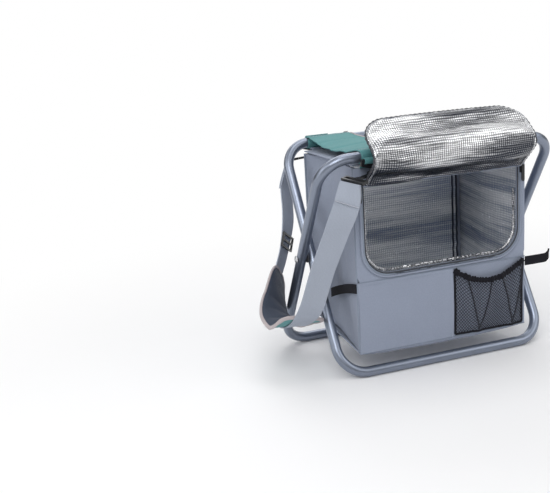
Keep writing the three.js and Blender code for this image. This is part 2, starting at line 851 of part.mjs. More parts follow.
function closureLeft() {
  const start = -bagFront + wallThickness;
  const surface = (u, v) => {
    const y = start + closureLeftLength * u;
    const top = closureTop - closureDrop * u * u;
    return new THREE.Vector3(-bagHalfWidth - clearance - closureThickness / 2, y, top - closureWidth * (1 - v));
  };
  add("closure_strap_left", cloth(surface, steps(8), [0, 1], closureThickness), materials.black);
}

// Shoulder strap, from the front hook down and up to the rear hook. Each place has its offset in x from the
// outer leg and its drop from the bars in webbing widths, and its y in half leg spreads, past the bars again
// in webbing widths; then the direction of its width
const strapRouteShares = [
  [[0.895, -1.632, 0.789], [0.32, -0.9, -0.28]],
  [[0.711, -1.632, 1.579], [0.75, -0.6, -0.3]],
  [[0.316, -1.421, 2.684], [0.94, -0.1, -0.32]],
  [[-0.211, -1.053, 4.263], [0.94, -0.05, -0.32]],
  [[-0.632, -0.86, 5.895], [0.95, 0, -0.3]],
  [[-0.842, -0.69, 6.5], [0.96, 0.14, -0.17]],
  [[-1, -0.41, 6.868], [0.91, 0.32, -0.14]],
  [[-1.132, -0.08, 6.868], [0.78, 0.5, -0.3]],
  [[-1.053, 0.26, 6.5], [0.6, 0.6, -0.5]],
  [[-0.632, 0.58, 5.684], [0.5, 0.67, -0.5]],
  [[0.053, 0.84, 4.605], [0.55, 0.65, -0.46]],
  [[0.526, 1.053, 3.316], [0.7, 0.6, -0.3]],
  [[0.711, 1.5, 1.947], [0.75, 0.6, -0.2]],
  [[0.895, 1.632, 0.789], [0.32, 0.9, -0.28]],
];
const strapPlaces = strapRouteShares.map(([[offset, along, drop], width]) => {
  const within = THREE.MathUtils.clamp(along, -1, 1);
  const x = webbingWidth * offset - outerWidth / 2;
  const y = halfSpread * within + webbingWidth * (along - within);
  return {
    centre: new THREE.Vector3(x, y, barHeight - webbingWidth * drop),
    width: new THREE.Vector3(...width).normalize(),
  };
});
const strapCurve = new THREE.CatmullRomCurve3(strapPlaces.map((place) => place.centre));
const strapSteps = 78;
const strapStart = 0;
const strapSplit = 66;
const padStart = 28;
const padEnd = 56;

function strapFrame(t) {
  const place = t * (strapPlaces.length - 1);
  const index = Math.min(Math.floor(place), strapPlaces.length - 2);
  const width = new THREE.Vector3().lerpVectors(
    strapPlaces[index].width,
    strapPlaces[index + 1].width,
    place - index,
  );
  const tangent = strapCurve.getTangent(t);
  width.addScaledVector(tangent, -width.dot(tangent)).normalize();
  return { centre: strapCurve.getPoint(t), width, normal: new THREE.Vector3().crossVectors(width, tangent) };
}

function strapPoint(t, across, off) {
  const frame = strapFrame(t);
  return frame.centre.addScaledVector(frame.width, across).addScaledVector(frame.normal, off);
}

// Webbing between two of the strap's steps
function ribbon(from, to) {
  const half = webbingThickness / 2;
  const side = webbingWidth / 2;
  const inner = Array.from({ length: Math.ceil(to) - Math.floor(from) - 1 }, (_, i) => Math.floor(from) + 1 + i);
  return loft(
    [from, ...inner, to].map((step) => {
      const corners = [[-side, -half], [0, -half], [side, -half], [side, half], [0, half], [-side, half]];
      return corners.map(([across, off]) => strapPoint(step / strapSteps, across, off));
    }),
  );
}

function padHalf(share) {
  const round = padWidth / 2;
  const reach = Math.min(share, 1 - share) * padLength;
  const past = Math.max(1 - reach / (round * 0.8), 0);
  return round * (0.35 + 0.65 * Math.sqrt(1 - past ** 2.4));
}

function padBody(low, rim, crown) {
  const vs = steps(6).map((share) => 2 * share - 1);
  const rings = steps(padEnd - padStart).map((share) => {
    const t = (padStart + (padEnd - padStart) * share) / strapSteps;
    const half = padHalf(share);
    const ends = Math.min(1, 5 * Math.min(share, 1 - share) + 0.3);
    const depth = (v) => low + rim + (crown - rim) * ends * Math.sqrt(Math.max(1 - v * v, 0));
    return [
      ...vs.map((v) => strapPoint(t, v * half, low)),
      ...vs.toReversed().map((v) => strapPoint(t, v * half, depth(v))),
    ];
  });
  return loft(rings);
}

function shoulderStrap() {
  add("strap_front", ribbon(strapStart, strapSplit), materials.webbing);
  add("strap_rear", ribbon(strapSplit + clearance / 8, strapSteps - strapStart), materials.webbing);
  const coverTop = webbingThickness / 2 + 3 * clearance;
  add("pad_cover", padBody(coverTop, padCoverThickness, padCoverThickness), materials.teal);
  const padTop = coverTop + padCoverThickness + 3 * clearance;
  add("shoulder_pad", padBody(padTop, padRim, padThickness), materials.black);
}

// Hook hardware, alike at the front and mirrored at the rear
function ringTab(side, name) {
  const x0 = tabCentre - tabWidth / 2;
  const outer = sleeveRadius + clearance;
  const outline = [
    ...arc(0, 0, outer, tabFrom, tabTo, 7),
    ...arc(0, 0, outer + tabThickness, tabTo, tabFrom, 7),
  ];
  const tab = extruded(outline, tabWidth);
  const place =
    side < 0
      ? moved(alongX, x0, -halfSpread, barHeight)
      : moved(alongXRear, x0 + tabWidth, halfSpread, barHeight);
  add(`ring_tab_${name}`, tab, materials.webbing, place);
}

function mirrored(vector, side) {
  return new THREE.Vector3(vector.x, -side * vector.y, vector.z);
}

const ringDown = new THREE.Vector3(0, 0.25, -0.968).normalize();
const ringEyePlace = ringReach - ringEye / 2;

// The ring's plate leans on its tab, which goes round the sleeve
function ringOrigin(side) {
  const reach = sleeveRadius + tabThickness + 2 * clearance + ringThickness;
  const bar = new THREE.Vector3(tabCentre, side * halfSpread, barHeight);
  return bar.addScaledVector(ringThrough(side), -reach).addScaledVector(mirrored(ringDown, side), -ringLift);
}

function ringThrough(side) {
  return new THREE.Vector3().crossVectors(new THREE.Vector3(-side, 0, 0), mirrored(ringDown, side));
}

function ringEyeAt(side) {
  const middle = ringOrigin(side).addScaledVector(ringThrough(side), ringThickness / 2);
  return middle.addScaledVector(mirrored(ringDown, side), ringEyePlace);
}

// The webbing's ends lie square to its run and to the hardware that it hangs from
for (const [side, place, t] of [[-1, strapPlaces[0], 0], [1, strapPlaces.at(-1), 1]]) {
  const chain = ringEyeAt(side).sub(place.centre);
  const square = new THREE.Vector3().crossVectors(strapCurve.getTangent(t), chain).normalize();
  place.width.copy(square.multiplyScalar(Math.sign(square.dot(place.width))));
}

// Ring plate: its drawing has x along the bar, y towards the eye
function ringPlate(side, name) {
  const halfBar = tabWidth / 2 + ringBar;
  const shoulder = 2 * ringBar;
  const tip = ringReach + ringTipHalf / 2;
  const outline = [
    at(-halfBar, ringSlot),
    at(-halfBar, -ringSlot),
    at(halfBar, -ringSlot),
    at(halfBar, ringSlot),
    at(ringTipHalf, shoulder),
    at(ringTipHalf, tip),
    at(-ringTipHalf, tip),
    at(-ringTipHalf, shoulder),
  ];
  const slotHalf = tabWidth / 2 + clearance;
  const slot = [at(-slotHalf, 0), at(-slotHalf, ringSlot / 2), at(slotHalf, ringSlot / 2), at(slotHalf, 0)];
  const eye = arc(0, ringEyePlace, ringEye, 0, 330, 11).reverse();
  const plate = extruded(outline, ringThickness, [slot, eye]);
  const down = mirrored(ringDown, side);
  const bar = new THREE.Vector3(-side, 0, 0);
  const out = new THREE.Vector3().crossVectors(bar, down);
  const basis = new THREE.Matrix4().makeBasis(bar, down, out).setPosition(ringOrigin(side));
  add(`strap_ring_${name}`, plate, materials.plastic, basis);
}

// Snap hook between the webbing's end and the ring's eye: loop and boss, hook with its stem, gate
function snapHook(side, name) {
  const place = (side < 0 ? strapStart : strapSteps - strapStart) / strapSteps;
  const end = strapPoint(place, 0, 0);
  const chain = ringEyeAt(side).sub(end);
  const reach = chain.length();
  const width = strapFrame(place).width;
  const loopPlace = frameAt(end, chain, width);
  const loopTop = 2 * loopBar + loopSlot;
  const loopHalf = webbingWidth / 2 + clearance + loopBar;
  const bossHalf = stemWidth;
  const loopOutline = [
    at(-loopHalf, 0),
    at(loopHalf, 0),
    at(loopHalf, loopTop),
    at(bossHalf, loopTop),
    at(bossHalf - loopBar / 3, loopTop + bossHalf),
    at(-bossHalf + loopBar / 3, loopTop + bossHalf),
    at(-bossHalf, loopTop),
    at(-loopHalf, loopTop),
  ];
  const slotHalf = loopHalf - loopBar;
  const slot = [
    at(-slotHalf, loopBar),
    at(-slotHalf, loopBar + loopSlot),
    at(slotHalf, loopBar + loopSlot),
    at(slotHalf, loopBar),
  ];
  const flat = new THREE.Matrix4().makeBasis(
    new THREE.Vector3(1, 0, 0),
    new THREE.Vector3(0, 0, 1),
    new THREE.Vector3(0, -1, 0),
  );
  const centred = (thickness, z) => moved(flat, 0, thickness / 2, z);
  const loop = extruded(loopOutline, loopThickness, [slot]);
  const loopShift = clearance + webbingThickness / 2;
  add(`strap_loop_${name}`, loop, materials.plastic, loopPlace.clone().multiply(centred(loopThickness, loopShift)));
  const middle = (hookOuterRadius + hookInnerRadius) / 2;
  const stemStart = loopShift + loopTop + bossHalf + clearance;
  const centre = reach - middle;
  const stem = stemWidth / 2;
  const foot = THREE.MathUtils.radToDeg(Math.asin(stem / hookOuterRadius));
  const hookOutline = [
    at(-stem, stemStart - centre),
    at(stem, stemStart - centre),
    ...arc(0, 0, hookOuterRadius, -90 + foot, gateFrom, 11),
    ...arc(0, 0, hookInnerRadius, gateFrom, gateTo - 360, 13),
    ...arc(0, 0, hookOuterRadius, gateTo - 360, -90 - foot, 3),
  ];
  const hookPlace = frameAt(end, chain, ringThrough(side)).multiply(centred(hookThickness, centre));
  add(`snap_hook_${name}`, extruded(hookOutline, hookThickness), materials.plastic, hookPlace);
  const gateOutline = [
    ...arc(0, 0, hookOuterRadius, gateFrom + gateNoseGap, gateTo - gateGap, 4),
    ...arc(0, 0, hookInnerRadius, gateTo - gateGap, gateFrom + gateNoseGap, 4),
  ];
  add(`hook_gate_${name}`, extruded(gateOutline, hookThickness), materials.steel, hookPlace);
}

// Slide that sets the strap's length, lying on the webbing's outer face
function adjuster() {
  const t = adjusterStep / strapSteps;
  const frame = strapFrame(t);
  const along = strapCurve.getTangent(t);
  const half = webbingWidth / 2 + clearance + loopBar;
  const reach = adjusterHeight / 2;
  const slotHalf = webbingWidth / 2 + clearance;
  const outline = [at(-half, -reach), at(half, -reach), at(half, reach), at(-half, reach)];
  const slotAt = (low, high) => [at(-slotHalf, low), at(-slotHalf, high), at(slotHalf, high), at(slotHalf, low)];
  const bar = loopBar / 2;
  const slots = [slotAt(bar, reach - loopBar), slotAt(-reach + loopBar, -bar)];
  const out = new THREE.Vector3().crossVectors(frame.width, along);
  const origin = strapPoint(t, 0, 0).addScaledVector(out, webbingThickness / 2 + 3 * clearance);
  const basis = new THREE.Matrix4().makeBasis(frame.width, along, out).setPosition(origin);
  add("strap_adjuster", extruded(outline, adjusterThickness, slots), materials.plastic, basis);
}

frameLoop("outer_frame_tube", outerWidth, tilt);
frameLoop("inner_frame_tube", innerWidth, -tilt);
pivots();
sleeves();
sleeveBindings();
seatSpan();
bagFrontPanel();
bagSides();
bagFloor();
bagRearWall();
bagLid();
flap();
zipperSliders();
labelPatch();
pocketPanel();
meshPocket();
pocketElastic();
closureRight();
closureLeft();
shoulderStrap();
for (const [side, name] of [[-1, "front"], [1, "rear"]]) {
  ringTab(side, name);
  ringPlate(side, name);
  snapHook(side, name);
}
adjuster();

export default stool;
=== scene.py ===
"""Folding cooler stool: cloth, foil, webbing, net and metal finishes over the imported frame."""

from math import atan2, copysign, cos, exp, hypot, pi, radians, sin, sqrt

import bpy
import numpy as np
from numpy import linspace
from numpy.linalg import norm
from mathutils import Matrix, Vector, noise


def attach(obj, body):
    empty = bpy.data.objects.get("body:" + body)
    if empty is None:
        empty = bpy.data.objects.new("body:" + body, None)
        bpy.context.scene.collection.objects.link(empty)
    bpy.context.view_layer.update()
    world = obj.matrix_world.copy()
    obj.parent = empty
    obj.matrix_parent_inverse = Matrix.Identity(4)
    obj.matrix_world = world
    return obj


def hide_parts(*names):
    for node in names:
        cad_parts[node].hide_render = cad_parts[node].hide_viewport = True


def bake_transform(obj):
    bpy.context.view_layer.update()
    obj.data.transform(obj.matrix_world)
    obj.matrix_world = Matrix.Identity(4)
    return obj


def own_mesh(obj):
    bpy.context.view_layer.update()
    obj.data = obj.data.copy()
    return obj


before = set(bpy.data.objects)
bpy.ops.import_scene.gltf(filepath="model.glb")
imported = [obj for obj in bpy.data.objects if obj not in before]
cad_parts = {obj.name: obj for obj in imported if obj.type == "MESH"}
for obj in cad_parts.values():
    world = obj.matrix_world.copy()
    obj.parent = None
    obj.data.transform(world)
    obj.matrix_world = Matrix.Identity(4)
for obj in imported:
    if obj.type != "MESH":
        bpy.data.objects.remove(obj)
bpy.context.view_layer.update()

# Sizes in millimetres, as in the part's source, in the row frame
BAR_RADIUS = 8
BAR_Z = 342
HALF_SPREAD = 100
REAR_BAR = 2 * HALF_SPREAD
PIVOT = np.array((0, HALF_SPREAD, 175.0))
TILT = atan2(HALF_SPREAD, BAR_Z - PIVOT[2])
LOOP_HALF = hypot(HALF_SPREAD, BAR_Z - PIVOT[2])
BEND = 44
OUTER_HALF = 198
INNER_HALF = 179.5
SLEEVE_RADIUS = 9.2
TAPE_RADIUS = 11.1
SLEEVE_IN = 62
SLEEVE_OUT = 138
SEAT_HALF = 87.7
SEAT_CREASES = (-52, 0.5, 52)
NOTCH_HALF, NOTCH_CORNER, NOTCH_DEPTH = 42, 20, 52
BAG_HALF = 148
BAG_FRONT = 2
PANEL_BACK = 4.5
BAG_BACK = 190
BAG_TOP = 326
BELLY_TOP = 155
REAR_WALL_Y, LINING_Y, WELT_Y = 188.9, 185.6, 183.4
LID_Z = 330
SIDE_FRONT, SIDE_BACK = 4.8, 187.2
LINING_HALF = 134.2
FLOOR_FRONT = 38
FLOOR_BACK = 60
MOUTH_HALF = 133
MOUTH_LOW = 161
MOUTH_TOP = 300
MOUTH_CORNER = 40
TURN_X, TURN_Z = MOUTH_HALF - MOUTH_CORNER, MOUTH_LOW + MOUTH_CORNER
FLAP_ROOT = (-5.0, 300.0)
LOWER_RUN, LOWER_ANGLE = 64.4, radians(136.9)
UPPER_RUN, UPPER_ANGLE = 76.6, radians(40.8)
FLAP_HALF = 136
FLAP_BEND = 19
FLAP_LENGTH = 140
POCKET_TOP = 150
POCKET_DIVIDE = 15
NET_LEFT, NET_RIGHT, NET_FOOT = 18, 142, 41
NET_PLEATS = (0.32, 0.82)
THREAD_SLANT, THREAD_PITCH = 0.6325, 0.0385
CLOSURE_LOW, CLOSURE_HIGH = 134.2, 149
HALF_WEB = 19
STRAP_STEPS = 78
STRAP_SPLIT = 66
PAD_FROM, PAD_TO = 28, 56
PAD_LENGTH, PAD_HALF = 245, 40.5
FOLD_STEPS, FOLD_GAP = 6.2, 0.3
RING_X, RING_OFF, RING_DROP = -117, 16.157, 3
EYE_OFF, EYE_DROP = 2, 17.75
SIDES = ((1, "right"), (-1, "left"))
X, Y, Z = np.eye(3)

# The two bodies of each span and a place by each, in metres
SEAT_SPAN = ("outer_frame", "inner_frame"), (0, 0.012, 0.342), (0, 0.188, 0.342)
STRAP_SPAN = ("outer_frame", "inner_frame"), (-0.178, 0.202, 0.216), (-0.164, 0.224, 0.312)
FLAP_SPAN = ("flap_lower", "flap_upper"), (0, -0.0455, 0.3385), (0, -0.0455, 0.3525)


def add(name, data):
    item = bpy.data.objects.new(name, data)
    bpy.context.scene.collection.objects.link(item)
    return item


def camera():
    """The photograph's own view, solved from the two loops."""
    azimuth, elevation, roll = (radians(a) for a in (20.02, 14.0, -3.59))
    ahead = Vector((sin(azimuth) * cos(elevation), cos(azimuth) * cos(elevation), -sin(elevation)))
    right = Vector((cos(azimuth), -sin(azimuth), 0))
    up = right.cross(ahead)
    turned = right * cos(roll) + up * sin(roll), up * cos(roll) - right * sin(roll)
    data = bpy.data.cameras.new("camera")
    data.lens = 63.78
    data.sensor_width = 36
    data.clip_start = 0.05
    basis = Matrix((*turned, -ahead)).transposed().to_4x4()
    basis.translation = (-0.74436, -1.28146, 0.56795)
    eye = add("camera", data)
    eye.matrix_world = basis
    bpy.context.scene.camera = eye


camera()


# Materials

class Nodes:
    """Short calls for a tree of shader nodes."""

    def __init__(self, tree):
        self.tree = tree

    def feed(self, socket, value):
        if isinstance(value, bpy.types.NodeSocket):
            self.tree.links.new(value, socket)
        else:
            socket.default_value = value

    def node(self, kind, **inputs):
        node = self.tree.nodes.new("ShaderNode" + kind)
        for key, value in inputs.items():
            self.feed(node.inputs[key.replace("_", " ")], value)
        return node

    def math(self, operation, *values):
        node = self.node("Math")
        node.operation = operation
        for socket, value in zip(node.inputs, values):
            self.feed(socket, value)
        return node.outputs[0]

    def fused(self, value, factor, added):
        return self.math("MULTIPLY_ADD", value, factor, added)

    def noise(self, vector, scale, detail, stretch=None):
        if stretch:
            vector = self.node("Mapping", Vector=vector, Scale=stretch).outputs[0]
        return self.node("TexNoise", Vector=vector, Scale=scale, Detail=detail).outputs[0]

    def ramp(self, factor, *stops):
        node = self.node("ValToRGB", Fac=factor)
        elements = node.color_ramp.elements
        while len(elements) < len(stops):
            elements.new(0.5)
        for element, (place, color) in zip(elements, stops):
            element.position = place
            element.color = (*color, 1) if hasattr(color, "__len__") else (color, color, color, 1)
        return node.outputs[0]

    def mix(self, factor, a, b, blend="MIX"):
        """Mixes two colours."""
        node = self.node("Mix", Factor=factor)
        node.data_type = "RGBA"
        node.blend_type = blend
        for socket, value in zip(node.inputs[6:8], (a, b)):
            self.feed(socket, value if isinstance(value, bpy.types.NodeSocket) else (*value, 1))
        return node.outputs[2]

    def choose(self, factor, a, b):
        """Mixes two plain values."""
        node = self.node("Mix", Factor=factor)
        self.feed(node.inputs[2], a)
        self.feed(node.inputs[3], b)
        return node.outputs[0]

    def bump(self, height, distance, strength, normal=None):
        node = self.node("Bump", Height=height, Distance=distance, Strength=strength)
        if normal:
            self.feed(node.inputs["Normal"], normal)
        return node.outputs[0]


class Finish(Nodes):
    """A Principled material."""

    def __init__(self, name, roughness, metallic=0.0, **sockets):
        self.material = bpy.data.materials.new(name)
        self.material.use_nodes = True
        super().__init__(self.material.node_tree)
        self.shader = self.tree.nodes["Principled BSDF"]
        for key, value in {"Roughness": roughness, "Metallic": metallic, **sockets}.items():
            self.put(key.replace("_", " "), value)

    def put(self, socket, value):
        self.feed(self.shader.inputs[socket], value)

    def place(self, source):
        """Metres along the cloth for cut pieces, else the object's own frame."""
        if source == "cloth":
            node = self.node("Attribute")
            node.attribute_name = "weave"
            vector = node.outputs["Vector"]
        else:
            vector = self.node("TexCoord").outputs["Object"]
        return vector, *self.node("SeparateXYZ", Vector=vector).outputs


def shade(color, factor):
    return tuple(min(1.0, c * factor) for c in color)


def woven(name, color, pitch, source="cloth", roughness=0.85, diagonal=False, mottle=0.1, wrinkle=0.0012,
          sheen=0.12):
    """Plain or twill cloth: threads, uneven dye, soft wrinkles."""
    finish = Finish(name, roughness, Sheen_Weight=sheen, Sheen_Roughness=0.5, Specular_IOR_Level=0.25)
    vector, x, y, z = finish.place(source)
    if source != "cloth":
        x = finish.fused(y, 0.9, x)
        y = finish.fused(y, 0.8, finish.fused(x, -0.3, z))
    turn = 2 * pi / pitch
    weft = finish.math("SINE", finish.math("MULTIPLY", x, turn))
    shift = finish.math("ADD", y, x) if diagonal else y
    warp = finish.math("SINE", finish.math("MULTIPLY", shift, turn))
    height = finish.fused(finish.math("MULTIPLY", weft, warp), 0.5, 0.5)
    cloudy = finish.noise(vector, 14, 4)
    fine = finish.noise(vector, 420, 2)
    base = finish.mix(cloudy, shade(color, 1 - mottle), shade(color, 1 + mottle))
    tone = finish.fused(height, 0.14, finish.fused(fine, 0.16, 0.85))
    grey = finish.node("CombineColor", Red=tone, Green=tone, Blue=tone).outputs[0]
    finish.put("Base Color", finish.mix(1.0, base, grey, "MULTIPLY"))
    soft = finish.bump(finish.noise(vector, 26, 3), wrinkle, 0.55)
    finish.put("Normal", finish.bump(height, pitch * 0.22, 0.5, soft))
    return finish.material


def foil(name, pitch, dark, bright, streaks, crush=0.0, metallic=1.0, painted_glint=0.3, dots=0.62,
         stops=(0.1, 0.5, 0.9), relief=0.22, gloss=0.2):
    """Embossed metallised film: rows of pressed cells with painted shade in the grooves between them, broad and
    fine streaks of painted reflection, and small painted glints.
    """
    finish = Finish(name, gloss, metallic)
    vector, x, y, _ = finish.place("cloth")
    turn = pi / pitch
    bowed = finish.fused(finish.noise(vector, 22, 2), 0.0035, y)
    ridge_x, ridge_y = (finish.math("ABSOLUTE", finish.math("SINE", finish.math("MULTIPLY", way, turn)))
                        for way in (x, bowed))
    cell = finish.math("POWER", finish.math("MULTIPLY", ridge_x, ridge_y), 0.7)
    # Broad and fine streaks in the colour are painted reflection: light and dark bands that stand in for what
    # the film mirrors.
    broad = finish.ramp(finish.noise(vector, 0.34, 2, streaks), (0.45, 0.0), (0.56, 1.0))
    fine = finish.ramp(finish.noise(vector, 1.6, 3, streaks), (0.43, 0.0), (0.58, 1.0))
    painted_reflection_bands = finish.fused(broad, 0.6, finish.math("MULTIPLY", fine, 0.4))
    sparkle = finish.noise(vector, 260, 1)
    # Painted shade in the grooves between the pressed cells, plus small painted glints from the fine noise.
    lit = finish.fused(cell, dots, finish.fused(sparkle, painted_glint, -0.5 * painted_glint))
    level = finish.fused(painted_reflection_bands, 1.0 - dots, lit)
    middle = tuple(0.6 * a + 0.4 * b for a, b in zip(dark, bright))
    finish.put("Base Color", finish.ramp(level, *zip(stops, (dark, middle, bright))))
    finish.put("Roughness", finish.fused(sparkle, 0.16, gloss))
    crumple = finish.bump(finish.noise(vector, 30, 3), 0.0022 + crush, 0.6)
    finish.put("Normal", finish.bump(cell, pitch * relief, 0.8, crumple))
    return finish.material


def plain(name, color, roughness, metallic=0.0, grain=500, depth=0.0001, spread=0.08):
    """Moulded, painted or metal surface with fine grain and uneven gloss."""
    finish = Finish(name, roughness, metallic)
    vector, *_ = finish.place("object")
    tone = finish.noise(vector, 40, 3)
    finish.put("Base Color", finish.mix(tone, shade(color, 1 - spread), shade(color, 1 + spread)))
    finish.put("Roughness", finish.fused(tone, 0.16, roughness - 0.08))
    finish.put("Normal", finish.bump(finish.noise(vector, grain, 2), depth, 0.4))
    return finish.material


OXFORD = woven("oxford_cloth", (0.275, 0.31, 0.395), 0.0011, mottle=0.07, wrinkle=0.002)
OXFORD_IN = woven("oxford_inside", (0.24, 0.28, 0.35), 0.0011)
TEAL = woven("teal_cloth", (0.098, 0.275, 0.285), 0.0012)
BINDING = woven("binding_tape", (0.46, 0.41, 0.42), 0.0016, diagonal=True)
WEBBING = woven("ribbed_webbing", (0.35, 0.385, 0.455), 0.0022, diagonal=True, mottle=0.06, wrinkle=0.0005)
BLACK = woven("black_cloth", (0.008, 0.008, 0.012), 0.0016, roughness=0.95, sheen=0.02)
THREAD = woven("net_thread", (0.02, 0.022, 0.03), 0.0012, source="object", roughness=0.9)
STITCH = woven("stitch_thread", (0.42, 0.44, 0.5), 0.0008, source="object")
# Each foil's dark and bright colours set the range of its painted reflection, painted groove shade and painted
# glints.
FOIL = foil("embossed_foil", 0.0036, (0.02, 0.024, 0.036), (0.98, 0.985, 1.0), (5, 34, 5), painted_glint=0.1,
            dots=0.42, stops=(0.27, 0.56, 0.86), relief=0.1, gloss=0.1)
FOIL_IN = foil("lining_foil", 0.0038, (0.24, 0.29, 0.4), (0.96, 0.98, 1.0), (4, 60, 4), metallic=0.3,
               painted_glint=0.1, dots=0.44, stops=(0.1, 0.42, 0.7), relief=0.2, gloss=0.16)
FOIL_RAG = foil("crushed_foil", 0.0031, (0.16, 0.17, 0.2), (1.0, 1.0, 1.0), (60, 60, 60), crush=0.003,
                metallic=0.7)
TUBE = plain("tube_coat", (0.235, 0.265, 0.33), 0.33, 0.85, 900, 0.00006)
STEEL = plain("rivet_steel", (0.55, 0.56, 0.58), 0.32, 1.0)
NYLON = plain("washer_nylon", (0.08, 0.08, 0.09), 0.5)
PLASTIC = plain("moulded_plastic", (0.012, 0.012, 0.014), 0.36, 0.0, 1200, 0.00005)
ZIP_COIL = plain("zip_coil", (0.035, 0.038, 0.048), 0.45, 0.0, 300, 0.0004, 0.4)
PAD_IN = woven("pad_lining", (0.05, 0.062, 0.092), 0.0013, roughness=0.7, mottle=0.14)
WELT = woven("dark_welt", (0.035, 0.04, 0.058), 0.0012, sheen=0.04)


# Mesh helpers

def place_object(name, vertices, faces, materials, weave, indices=None, sharp=50):
    mesh = bpy.data.meshes.new(name)
    mesh.from_pydata((np.asarray(vertices, float) / 1000).tolist(), [], faces)
    for material in materials:
        mesh.materials.append(material)
    if indices is not None:
        mesh.polygons.foreach_set("material_index", indices)
    mesh.polygons.foreach_set("use_smooth", [True] * len(mesh.polygons))
    mesh.set_sharp_from_angle(angle=radians(sharp))
    if weave is not None:
        layer = mesh.attributes.new("weave", "FLOAT_VECTOR", "POINT")
        layer.data.foreach_set("vector", (np.asarray(weave, float) / 1000).ravel())
    mesh.validate()
    return add(name, mesh)


def unit(vectors):
    return vectors / np.maximum(norm(vectors, axis=-1, keepdims=True), 1e-9)


def run_lengths(points):
    return np.concatenate([[0], np.cumsum(norm(np.diff(points, axis=0), axis=1))])


def sheet(name, points, thickness, *materials, weave=None):
    """A closed body of cloth about a grid of points; its first material is on the normal's side."""
    points = np.asarray(points, float)
    nu, nv, _ = points.shape
    normal = unit(np.cross(np.gradient(points, axis=0), np.gradient(points, axis=1)))
    thick = np.asarray(thickness, float)
    shift = normal * (thick[..., None] if thick.ndim == 2 else thick) * 0.5
    if weave is None:
        runs = np.meshgrid(run_lengths(points[:, nv // 2]), run_lengths(points[nu // 2]), indexing="ij")
        weave = np.stack([*runs, np.zeros((nu, nv))], axis=2)
    count = nu * nv
    index = np.arange(count).reshape(nu, nv)
    grid = index.tolist()
    faces, kinds = [], []
    for near, far in zip(grid, grid[1:]):
        for a, b, c, d in zip(near, near[1:], far[1:], far):
            faces += [(a, d, c, b), (a + count, b + count, c + count, d + count)]
            kinds += [0, 1]
    rims = ((index[0, :-1], index[0, 1:]), (index[-1, 1:], index[-1, :-1]),
            (index[1:, 0], index[:-1, 0]), (index[:-1, -1], index[1:, -1]))
    for starts, ends in rims:
        for a, b in zip(starts.tolist(), ends.tolist()):
            faces.append((a, b, b + count, a + count))
            kinds.append(2)
    kinds = np.minimum(kinds, len(materials) - 1)
    vertices = np.concatenate([(points + shift).reshape(-1, 3), (points - shift).reshape(-1, 3)])
    return place_object(name, vertices, faces, materials, np.concatenate([weave.reshape(-1, 3)] * 2), kinds)


def tubes(name, runs, material, weave=None, closed=False, sharp=50):
    """One mesh of closed bodies, each a run of rings."""
    vertices, faces = [], []
    for rings in runs:
        count, sides, first = len(rings), len(rings[0]), len(vertices)
        for i in range(count if closed else count - 1):
            near, far = first + i * sides, first + (i + 1) % count * sides
            for j in range(sides):
                k = (j + 1) % sides
                faces.append((near + j, near + k, far + k, far + j))
        if not closed:
            last = first + (count - 1) * sides
            faces += [tuple(range(first, first + sides))[::-1], tuple(range(last, last + sides))]
        vertices += [point for ring in rings for point in ring]
    return place_object(name, vertices, faces, [material], weave, sharp=sharp)


def circle(radius, sides=12, squeeze=1.0):
    angles = np.arange(sides) * 2 * pi / sides
    return np.stack([radius * np.cos(angles), radius * squeeze * np.sin(angles)], axis=1)


def sweep(name, path, outline, hint, material, closed=False):
    """An outline, or one for each place, carried along a path; hint gives the outline's x direction."""
    path, outline = np.asarray(path, float), np.asarray(outline, float)
    tangent = unit(np.roll(path, -1, 0) - np.roll(path, 1, 0) if closed else np.gradient(path, axis=0))
    side = unit(hint - tangent * np.sum(hint * tangent, axis=1, keepdims=True))
    up = np.cross(tangent, side)
    rings = path[:, None] + side[:, None] * outline[..., :1] + up[:, None] * outline[..., 1:]
    weave = np.zeros(rings.shape)
    weave[..., 0] = run_lengths(path)[:, None]
    weave[..., 1] = run_lengths(outline if outline.ndim == 2 else outline[0])
    return tubes(name, [rings], material, weave.reshape(-1, 3), closed)


def arc(x, y, radius, start, end, count):
    angles = np.radians(linspace(start, end, count + 1))
    return [(x + radius * cos(a), y + radius * sin(a)) for a in angles]


def even(points, pitch):
    """The same line with points at an even pitch."""
    points = np.asarray(points, float)
    run = run_lengths(points)
    places = linspace(0, run[-1], max(2, int(round(run[-1] / pitch)) + 1))
    return np.stack([np.interp(places, run, points[:, k]) for k in range(points.shape[1])], axis=1)


def wobble(x, y, z, size, seed):
    return noise.noise((x / size + seed, y / size - seed, z / size + 2 * seed))


def across(count, half):
    return linspace(-half, half, count)


def hump(distance, width):
    """A smooth rise that is 1 where the distance is none."""
    return exp(-(distance / width) ** 2)


def lattice(us, vs, point):
    """A grid of points, one row for each u."""
    return [[point(u, v) for v in vs] for u in us]


def both_sides(places):
    return sorted({round(s * x, 3) for x in places for s in (1, -1)})


def stitches(name, path, hint, length=3.2, gap=1.6, radius=0.45, material=STITCH):
    """A row of short raised stitches along a path."""
    outline, runs = circle(radius, 6), []
    path = even(path, length + gap)
    for start, end in zip(path[:-1], path[1:]):
        along = unit(end - start)
        side = unit(hint - along * along.dot(hint))
        up = np.cross(along, side)
        runs.append([[start + along * length * share + side * a * grow + up * b * grow for a, b in outline]
                     for share, grow in ((0.0, 0.4), (0.25, 1.0), (0.75, 1.0), (1.0, 0.4))])
    return tubes(name, runs, material)


def settle(piece, slot, *nodes, body="outer_frame", span=None):
    """Puts a piece on one body, or where a span is given bakes its placement where it stands, and hides the
    given parts.
    """
    if span:
        bodies, start, end = span
        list(bodies)
        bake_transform(piece)
        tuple(start)
        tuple(end)
    else:
        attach(piece, body)
    if nodes:
        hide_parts(*nodes)
    return piece


def crumple(piece, slot, *nodes):
    """Cloth between the front panel and the rear wall, placed with its own copy of the mesh."""
    settle(piece, slot, *nodes)
    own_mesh(piece)
    return piece


